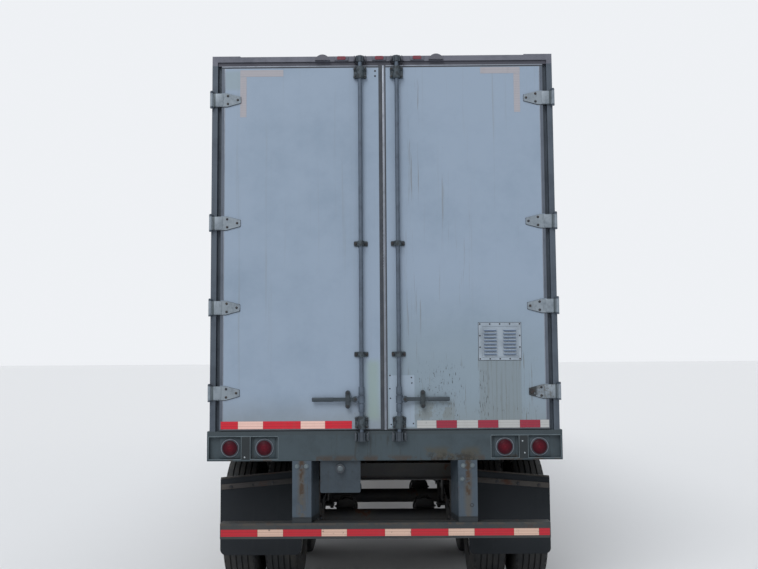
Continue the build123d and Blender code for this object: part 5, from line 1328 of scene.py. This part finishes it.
# outlines of place along the lamp's axis and radius
flangeOutline = [(0.0, 0.0605), (-0.005, 0.0605), (-0.0062, 0.062), (-0.0062, 0.0645), (-0.004, 0.0665),
                 (0.0, 0.067)]
grommetOutline = [(0.0, 0.0615), (-0.007, 0.061), (-0.0105, 0.0585), (-0.0125, 0.0565), (-0.0125, 0.0545),
                  (-0.009, 0.0535), (0.0, 0.0535)]
lensOutline = [(0.0, 0.0533), (-0.011, 0.0533), (-0.0135, 0.052), (-0.0145, 0.0475), (-0.0138, 0.0465),
               (-0.0145, 0.045), (-0.0155, 0.041), (-0.0148, 0.04), (-0.0158, 0.038), (-0.0172, 0.027),
               (-0.0166, 0.026), (-0.0175, 0.0245), (-0.0186, 0.012), (-0.0191, 0.0004)]
plates, grommets, flanges, lenses = [], [], [], []
low, high = tailLamps["z"]
for x in lampPlaces["x"]:
    plate = addBlock((x - tailLamps["half"], tailLamps["front"], low),
                     (x + tailLamps["half"], tailLamps["back"], high))
    plates.append(softenEdges(plate, tailLamps["soft"], 2))
    centre = (x, tailLamps["front"], lampPlaces["z"])
    flanges.append(spinOutline(flangeOutline, centre, "Y", 48))
    grommets.append(spinOutline(grommetOutline, centre, "Y", 48))
    lenses.append(spinOutline(lensOutline, centre, "Y", 40))
handOver(mirrorAcross(joinAll(plates)), "lampPlates", "chassis", sillSteel, slot="frame_steel")
handOver(mirrorAcross(joinAll(grommets)), "lampGrommets", "chassis", sealRubber, slot="seal_rubber")
handOver(mirrorAcross(joinAll(flanges)), "lampFlanges", "chassis", paleTrim, slot="frame_steel")
lampLenses = handOver(mirrorAcross(joinAll(lenses)), "lampLenses", "chassis", lensRed, slot="lamp")
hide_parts("tail_lamps")

# worn edges of the lamp pockets, and the sill's two lips
sillTrim = {
    "lip": (0.777, 1.283, 1.276, 1.2805, 0.0022), "foot": (-1.283, 1.283, 1.101, 1.107, 0.0025),
    "line": 0.0035, "lineProud": 0.0012, "pockets": ((0.7775, 0.9778), (1.0478, 1.283)), "pocketLow": 1.116,
    "screws": ((-1.02, 1.128), (1.005, 1.235), (1.02, 1.15)), "screw": (0.006, 0.0025),
}


def addSillStrip(x1, x2, z1, z2, proud):
    strip = addBlock((x1, sillFace - proud, z1), (x2, sillFace + 0.0004, z2))
    return softenEdges(strip, min(proud, x2 - x1, z2 - z1) * 0.3, 2)


strips = [addSillStrip(*sillTrim["lip"])]
line, proud = sillTrim["line"], sillTrim["lineProud"]
low, high = sillTrim["pocketLow"], sillTrim["lip"][2]
for near, far in sillTrim["pockets"]:
    strips.append(addSillStrip(near, far, low - line, low, proud))
    strips.append(addSillStrip(near - line, near, low - line, high, proud))
    strips.append(addSillStrip(far, far + line, low - line, high, proud))
handOver(mirrorAcross(joinAll(strips)), "sillEdges", "chassis", edgeSteel, slot="frame_steel")
handOver(addSillStrip(*sillTrim["foot"]), "sillFoot", "chassis", sillSteel, slot="frame_steel")
places = [(x, sillFace, z) for x, z in sillTrim["screws"]]
handOver(setBolts(makeRoundBolt, places, *sillTrim["screw"], "-Y"), "sillScrews", "chassis", rivetAlloy)

plateLamp = {
    "centre": (-0.3235, doorFace, 1.044),
    "bezel": [(0.0, 0.033), (-0.004, 0.0325), (-0.0065, 0.03), (-0.0065, 0.025), (-0.004, 0.0225),
              (0.0, 0.0225)],
    "glass": [(0.0, 0.0222), (-0.0035, 0.021), (-0.006, 0.016), (-0.0075, 0.009), (-0.008, 0.0004)],
}
bezel = spinOutline(plateLamp["bezel"], plateLamp["centre"], "Y", 32)
handOver(bezel, "plateLampBezel", "chassis", sealRubber)
glass = spinOutline(plateLamp["glass"], plateLamp["centre"], "Y", 28)
handOver(glass, "plateLampGlass", "chassis", lensClear, slot="lamp")
print("lamps dressed")


# Guard and flaps

guardParts = {
    "bolts": ((-0.57, 1.062), (-0.637, 1.062), (0.57, 1.062), (0.637, 1.062), (0.56, 0.965)),
    "bolt": (0.026, 0.011), "holePlace": (0.63, guardFace, 0.779),
    "holeOutline": [(0.0, 0.014), (-0.0012, 0.0135), (-0.0012, 0.0105), (0.0012, 0.0095), (0.0012, 0.0004)],
}
places = [(x, guardFace, z) for x, z in guardParts["bolts"]]
handOver(setBolts(makeHexBolt, places, *guardParts["bolt"], "-Y"), "guardBolts", "chassis", edgeSteel)
hole = spinOutline(guardParts["holeOutline"], guardParts["holePlace"], "Y", 20)
handOver(hole, "guardPostHole", "chassis", boltSteel)

flapParts = {"x": (0.65, 1.255), "z": (0.895, 0.935), "drop": 0.05, "thick": 0.006, "soft": 0.002,
             "boltXs": (0.70, 0.86, 1.02, 1.18), "boltFrom": (0.608, 0.917), "slope": 0.0887,
             "bolt": (0.022, 0.01)}
front = flapFace - flapParts["thick"]
(x1, x2), (z1, z2) = flapParts["x"], flapParts["z"]
strip = addBlock((x1, front, z1), (x2, flapFace, z2))
pick(strip, "VERT", lambda v: v.co.x > (x1 + x2) / 2)
bpy.ops.transform.translate(value=(0, 0, -flapParts["drop"]))
leaveEdit()
strip = mirrorAcross(softenEdges(strip, flapParts["soft"], 2))
handOver(strip, "flapClampStrips", "chassis", flapBarSteel, slot="rusty_steel")
places = []
for x in flapParts["boltXs"]:
    z = flapParts["boltFrom"][1] - (x - flapParts["boltFrom"][0]) * flapParts["slope"]
    places += [(sign * x, front, z) for sign in (-1, 1)]
handOver(setBolts(makeHexBolt, places, *flapParts["bolt"], "-Y"), "flapBolts", "chassis", boltSteel)
print("guard and flaps dressed")


# Tyres and wheels

tyreShape = {"dual": 0.165, "steps": 96, "blockTurn": 3.75, "block": (0.003, -0.004),
             "shoulder": (0.108, 0.1195), "shoulderRadius": 0.508, "smooth": 28}
# place across the tyre and radius, from the bead over the sidewall to the middle of the tread
tyreOutline = [
    (-0.100, 0.2865), (-0.104, 0.2905), (-0.1105, 0.297), (-0.1165, 0.309), (-0.1165, 0.3125),
    (-0.1225, 0.317), (-0.1305, 0.345), (-0.1375, 0.375), (-0.1393, 0.402), (-0.1385, 0.428),
    (-0.1345, 0.458), (-0.1345, 0.462), (-0.1305, 0.478), (-0.1265, 0.492), (-0.1225, 0.505),
    (-0.1155, 0.5145), (-0.107, 0.5195), (-0.0745, 0.5228), (-0.0725, 0.5105), (-0.0645, 0.5105),
    (-0.0625, 0.5238), (-0.0285, 0.5258), (-0.0265, 0.5125), (-0.0185, 0.5125), (-0.0165, 0.5264),
    (0.0165, 0.5264),
]
fullOutline = tyreOutline + [(-a, r) for a, r in reversed(tyreOutline[:-2])]
fullOutline.append(tyreOutline[0])


def makeTyrePair(centre):  # twin tyres with every other block of their shoulders pressed in
    tyres = joinAll([
        spinOutline(fullOutline, (centre[0] + away * tyreShape["dual"], *centre[1:]), "X", tyreShape["steps"])
        for away in (-1, 1)
    ])
    inner, outer = tyreShape["shoulder"]

    def onShoulder(face):
        offset = abs(abs(face.center.x - centre[0]) - tyreShape["dual"])
        along, rise = face.center.y - centre[1], face.center.z - centre[2]
        block = int(math.degrees(math.atan2(rise, along)) % 360 / tyreShape["blockTurn"])
        outside = math.hypot(along, rise) > tyreShape["shoulderRadius"]
        return inner < offset < outer and outside and block % 2 == 0

    pick(tyres, "FACE", onShoulder)
    thickness, depth = tyreShape["block"]
    bpy.ops.mesh.inset(thickness=thickness, depth=depth, use_individual=True)
    leaveEdit()
    return tyres


for body, ending, sign, centre in wheelPairs:
    tyres = handOver(makeTyrePair(centre), "tyres" + ending, body, tyreRubber, slot="tyre",
                     smooth=tyreShape["smooth"])
    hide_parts(body.replace("wheels", "tyres"))
print("tyres made")


def placesRound(count, radius, centre, start=0.0):
    made = []
    for number in range(count):
        turn = start + 2 * math.pi * number / count
        made.append((centre[0], centre[1] + radius * math.cos(turn), centre[2] + radius * math.sin(turn)))
    return made


wheelParts = {
    "nuts": 10, "circle": 0.1429, "nut": (0.038, 0.026), "face": 0.996,
    "studOut": 0.02, "stud": (0.011, 0.036), "studSoft": 0.002,
    "capFace": 1.104, "capBolts": 6, "capCircle": 0.084, "capStart": 0.3, "capBolt": (0.014, 0.007),
    "lipAway": 0.104, "valveOut": 0.2, "valveUp": 0.235, "valve": (0.005, 0.11), "valveSoft": 0.001,
}
hubCapOutline = ((0.0, 0.096), (0.004, 0.097), (0.008, 0.094), (0.009, 0.074), (0.0095, 0.071),
                 (0.018, 0.0705), (0.021, 0.068), (0.0215, 0.05), (0.0205, 0.047), (0.0205, 0.03),
                 (0.0235, 0.026), (0.0235, 0.0004))
rimLipOutline = ((0.0, 0.279), (0.006, 0.2795), (0.009, 0.284), (0.0085, 0.2925), (0.005, 0.2965),
                 (0.0005, 0.295), (-0.001, 0.287), (0.0, 0.279))


def makeNuts(sign, y, z):  # nuts and studs of the outer wheel, and the hub cap's bolts
    outward = "+X" if sign > 0 else "-X"
    circle = (sign * wheelParts["face"], y, z)
    places = placesRound(wheelParts["nuts"], wheelParts["circle"], circle, math.pi / wheelParts["nuts"])
    nuts = setBolts(makeHexBolt, places, *wheelParts["nut"], outward)
    studPlace = (circle[0] + sign * wheelParts["studOut"], *places[0][1:])
    stud = softenEdges(addBarrel(studPlace, *wheelParts["stud"], "X", 12), wheelParts["studSoft"], 1)
    studs = copyAlong(stud, places)
    cap = (sign * wheelParts["capFace"], y, z)
    places = placesRound(wheelParts["capBolts"], wheelParts["capCircle"], cap, wheelParts["capStart"])
    return joinAll([nuts, studs, setBolts(makeHexBolt, places, *wheelParts["capBolt"], outward)])


def makeRimLips(sign, centre):  # rolled lips of both rims, and the outer valve
    rims = []
    for offset in (-1, 1):
        for away in (-1, 1):
            lipX = centre[0] + offset * tyreShape["dual"] + away * wheelParts["lipAway"]
            outline = [(away * a, r) for a, r in rimLipOutline]
            rims.append(spinOutline(outline, (lipX, *centre[1:]), "X", 64))
    place = (centre[0] + sign * wheelParts["valveOut"], centre[1], centre[2] + wheelParts["valveUp"])
    rims.append(softenEdges(addBarrel(place, *wheelParts["valve"], "X", 10), wheelParts["valveSoft"], 1))
    return joinAll(rims)


for body, ending, sign, centre in wheelPairs:
    handOver(makeNuts(sign, *centre[1:]), "nuts" + ending, body, boltSteel)
    cap = spinOutline([(sign * a, r) for a, r in hubCapOutline],
                      (sign * wheelParts["capFace"], *centre[1:]), "X", 40)
    handOver(cap, "hubCap" + ending, body, railAlloy, slot="alloy")
    handOver(makeRimLips(sign, centre), "rimLips" + ending, body, wheelPaint, slot="wheel_paint")
print("wheels dressed")


# Underframe

springParts = {
    "x": 0.56, "plateTop": 0.679, "low": 0.44, "away": (0.046, 0.07), "legRadius": 0.011, "legSpare": 0.03,
    "legSoft": 0.002, "nut": (0.034, 0.018), "nutSunk": 0.001, "saddleHalf": (0.062, 0.085),
    "saddleDeep": 0.024, "saddleInset": (0.02, 0.006), "saddleSoft": 0.004,
}


def makeSpringClamps(y):  # four legs with their nuts, and the saddle under the spring
    x, low = springParts["x"], springParts["low"]
    awayX, awayY = springParts["away"]
    legMiddle, legLength = (springParts["plateTop"] + low) / 2, springParts["plateTop"] - low
    made = []
    for legX in (x - awayX, x + awayX):
        for legY in (y - awayY, y + awayY):
            leg = addBarrel((legX, legY, legMiddle), springParts["legRadius"],
                            legLength + springParts["legSpare"], "Z", 12)
            made.append(softenEdges(leg, springParts["legSoft"], 1))
            made.append(makeHexBolt((legX, legY, low - springParts["nutSunk"]), *springParts["nut"], "-Z"))
    halfX, halfY = springParts["saddleHalf"]
    saddle = addBlock((x - halfX, y - halfY, low), (x + halfX, y + halfY, low + springParts["saddleDeep"]))
    pick(saddle, "FACE", lambda face: face.normal.z > 0.9)
    thickness, depth = springParts["saddleInset"]
    bpy.ops.mesh.inset(thickness=thickness, depth=depth)
    leaveEdit()
    return made + [softenEdges(saddle, springParts["saddleSoft"], 2)]


clamps = makeSpringClamps(axleYs[0]) + makeSpringClamps(axleYs[1])
handOver(mirrorAcross(joinAll(clamps)), "springClamps", "chassis", chassisBlack, slot="chassis_black")

chamberParts = {
    "x": 0.33, "z": 0.577, "middle": 0.245, "end": 0.34, "screwOut": 0.094, "screw": (0.016, 0.012),
    "band": [(-0.016, 0.079), (-0.016, 0.0905), (-0.004, 0.094), (0.004, 0.094), (0.016, 0.0905),
             (0.016, 0.079), (-0.016, 0.079)],
    "dome": [(0.0, 0.0785), (0.016, 0.07), (0.028, 0.048), (0.034, 0.02), (0.034, 0.0004)],
}
bands = []
for y in axleYs:  # each chamber's middle and end lie ahead of its axle
    x, z = chamberParts["x"], chamberParts["z"]
    middle, end = y + chamberParts["middle"], y + chamberParts["end"]
    bands.append(spinOutline(chamberParts["band"], (x, middle, z), "Y", 36))
    bands.append(spinOutline(chamberParts["dome"], (x, end, z), "Y", 32))
    bands.append(makeHexBolt((x + chamberParts["screwOut"], middle, z), *chamberParts["screw"], "+X"))
handOver(mirrorAcross(joinAll(bands)), "chamberBands", "chassis", chassisBlack, slot="chassis_black")

hangers = {"y": (-7.55, -5.225), "z": 0.61, "faces": ((0.608, "+X"), (0.512, "-X")), "bolt": (0.036, 0.018)}
bolts = [makeHexBolt((x, y, hangers["z"]), *hangers["bolt"], towards)
         for y in hangers["y"] for x, towards in hangers["faces"]]  # the middle hanger has its own pin
handOver(mirrorAcross(joinAll(bolts)), "hangerBolts", "chassis", boltSteel)

slider = {"face": 0.608, "y": (-7.42, -6.9, -5.85, -5.38), "z": 0.975, "pin": (0.042, 0.02)}
pins = [makeHexBolt((slider["face"], y, slider["z"]), *slider["pin"], "+X") for y in slider["y"]]
handOver(mirrorAcross(joinAll(pins)), "slidePins", "chassis", boltSteel)

legParts = {
    "plateZ": 1.155, "boltXs": (0.655, 0.745), "boltYs": (3.78, 3.95, 4.89, 5.06), "bolt": (0.026, 0.012),
    "gear": (-0.86, 4.42, 1.0), "coverProud": 0.008, "coverBolts": 6, "coverCircle": 0.043,
    "coverStart": 0.4, "coverBolt": (0.012, 0.006),
    "cover": [(0.0, 0.056), (-0.006, 0.055), (-0.008, 0.05), (-0.008, 0.03), (-0.014, 0.026),
              (-0.014, 0.0145), (0.0, 0.0145)],
}
places = [(x, y, legParts["plateZ"]) for y in legParts["boltYs"] for x in legParts["boltXs"]]
bolts = mirrorAcross(setBolts(makeHexBolt, places, *legParts["bolt"], "-Z"))
handOver(bolts, "legBolts", "chassis", boltSteel)
gearX, gearY, gearZ = legParts["gear"]
cover = spinOutline(legParts["cover"], legParts["gear"], "X", 32)
places = placesRound(legParts["coverBolts"], legParts["coverCircle"],
                     (gearX - legParts["coverProud"], gearY, gearZ), legParts["coverStart"])
coverBolts = setBolts(makeHexBolt, places, *legParts["coverBolt"], "-X")
handOver(joinAll([cover, coverBolts]), "gearCover", "chassis", chassisBlack, slot="chassis_black")
print("underframe dressed")


# Inside the box

scuff = {"x": (floorSide - 0.0035, floorSide), "z": (floorTop + 0.001, 1.61), "y": (-7.94, 7.9),
         "ribs": 7, "ribLow": 0.03, "ribPitch": 0.041, "ribTall": 0.016, "ribProud": 0.004, "soft": 0.002}
(x1, x2), (y1, y2), (z1, z2) = scuff["x"], scuff["y"], scuff["z"]
bands = [addBlock((x1, y1, z1), (x2, y2, z2))]
for number in range(scuff["ribs"]):
    z = z1 + scuff["ribLow"] + number * scuff["ribPitch"]
    rib = addBlock((x1 - scuff["ribProud"], y1, z), (x1, y2, z + scuff["ribTall"]))
    bands.append(softenEdges(rib, scuff["soft"], 1))
handOver(mirrorAcross(joinAll(bands)), "scuffBands", "chassis", railAlloy, slot="alloy")
print("inside dressed")


# Floor, light and camera

studio = {
    "floor": (222, 223, 225), "floorSecond": (214, 215, 217), "floorRough": 0.9,
    "floorSize": 2400, "floorZ": -0.001,
    "ambient": 0.56, "ambientColour": (0.94, 0.97, 1.0, 1), "backdrop": (0.86, 0.88, 0.91, 1),
    "suns": (
        # energy, spread in degrees, turn about X, turn about Z
        (1.62, 34, 44, -24),
        (0.45, 40, 26, 150),
    ),
}
paleFloor, tree, place = startMaterial("paleFloor")
fine = noiseOf(tree, place, 3.0, 3.0).outputs["Fac"]
tone = blendColour(tree, fine, studio["floor"], studio["floorSecond"], 0.15)
floorShader = tree.nodes["Principled BSDF"]
feed(tree, floorShader.inputs["Base Color"], tone)
feed(tree, floorShader.inputs["Roughness"], studio["floorRough"])
clearSelection()
bpy.ops.mesh.primitive_plane_add(size=studio["floorSize"], location=(0, 0, studio["floorZ"]))
ground = bpy.context.object
ground.name = "ground"
ground.data.materials.append(paleFloor)

world = bpy.data.worlds.new("studioWorld")
bpy.context.scene.world = world
world.use_nodes = True
tree = world.node_tree
tree.nodes.clear()
path = tree.nodes.new("ShaderNodeLightPath")
seen = work(tree, "ADD", path.outputs["Is Camera Ray"], path.outputs["Is Glossy Ray"])
seen = work(tree, "ADD", seen, path.outputs["Is Transmission Ray"], True)
dim = addNode(tree, "ShaderNodeBackground", Color=studio["ambientColour"], Strength=studio["ambient"])
bright = addNode(tree, "ShaderNodeBackground", Color=studio["backdrop"], Strength=1.0)
mix = tree.nodes.new("ShaderNodeMixShader")
for index, value in enumerate((seen, dim.outputs[0], bright.outputs[0])):
    feed(tree, mix.inputs[index], value)
feed(tree, tree.nodes.new("ShaderNodeOutputWorld").inputs[0], mix.outputs[0])

for number, (energy, spread, tilt, turn) in enumerate(studio["suns"]):
    lamp = bpy.data.lights.new("softSun" + str(number + 1), "SUN")
    lamp.energy = energy
    lamp.angle = math.radians(spread)
    holder = bpy.data.objects.new(lamp.name, lamp)
    holder.rotation_euler = (math.radians(tilt), 0, math.radians(turn))
    bpy.context.scene.collection.objects.link(holder)

# the camera that was fitted to the photograph: place in metres, turns in radians
view = {"place": (0.0126, -14.9419, 1.8147), "yaw": -0.00658, "pitch": 0.08294, "roll": -0.00667,
        "lens": 44.27, "sensor": 36, "farthest": 3000}
yaw, pitch, roll = view["yaw"], view["pitch"], view["roll"]
ahead = Vector((math.sin(yaw) * math.cos(pitch), math.cos(yaw) * math.cos(pitch), math.sin(pitch)))
level = Vector((math.cos(yaw), -math.sin(yaw), 0))
upward = level.cross(ahead)
right = level * math.cos(roll) + upward * math.sin(roll)
top = upward * math.cos(roll) - level * math.sin(roll)
lens = bpy.data.cameras.new("photoCamera")
lens.lens = view["lens"]
lens.sensor_width = view["sensor"]
lens.sensor_fit = "HORIZONTAL"
lens.clip_end = view["farthest"]
camera = bpy.data.objects.new("photoCamera", lens)
turn = Matrix((right, top, -ahead)).transposed().to_4x4()
camera.matrix_world = Matrix.Translation(view["place"]) @ turn
bpy.context.scene.collection.objects.link(camera)
bpy.context.scene.camera = camera
bpy.context.scene.view_settings.view_transform = "Standard"
print("light and camera set")
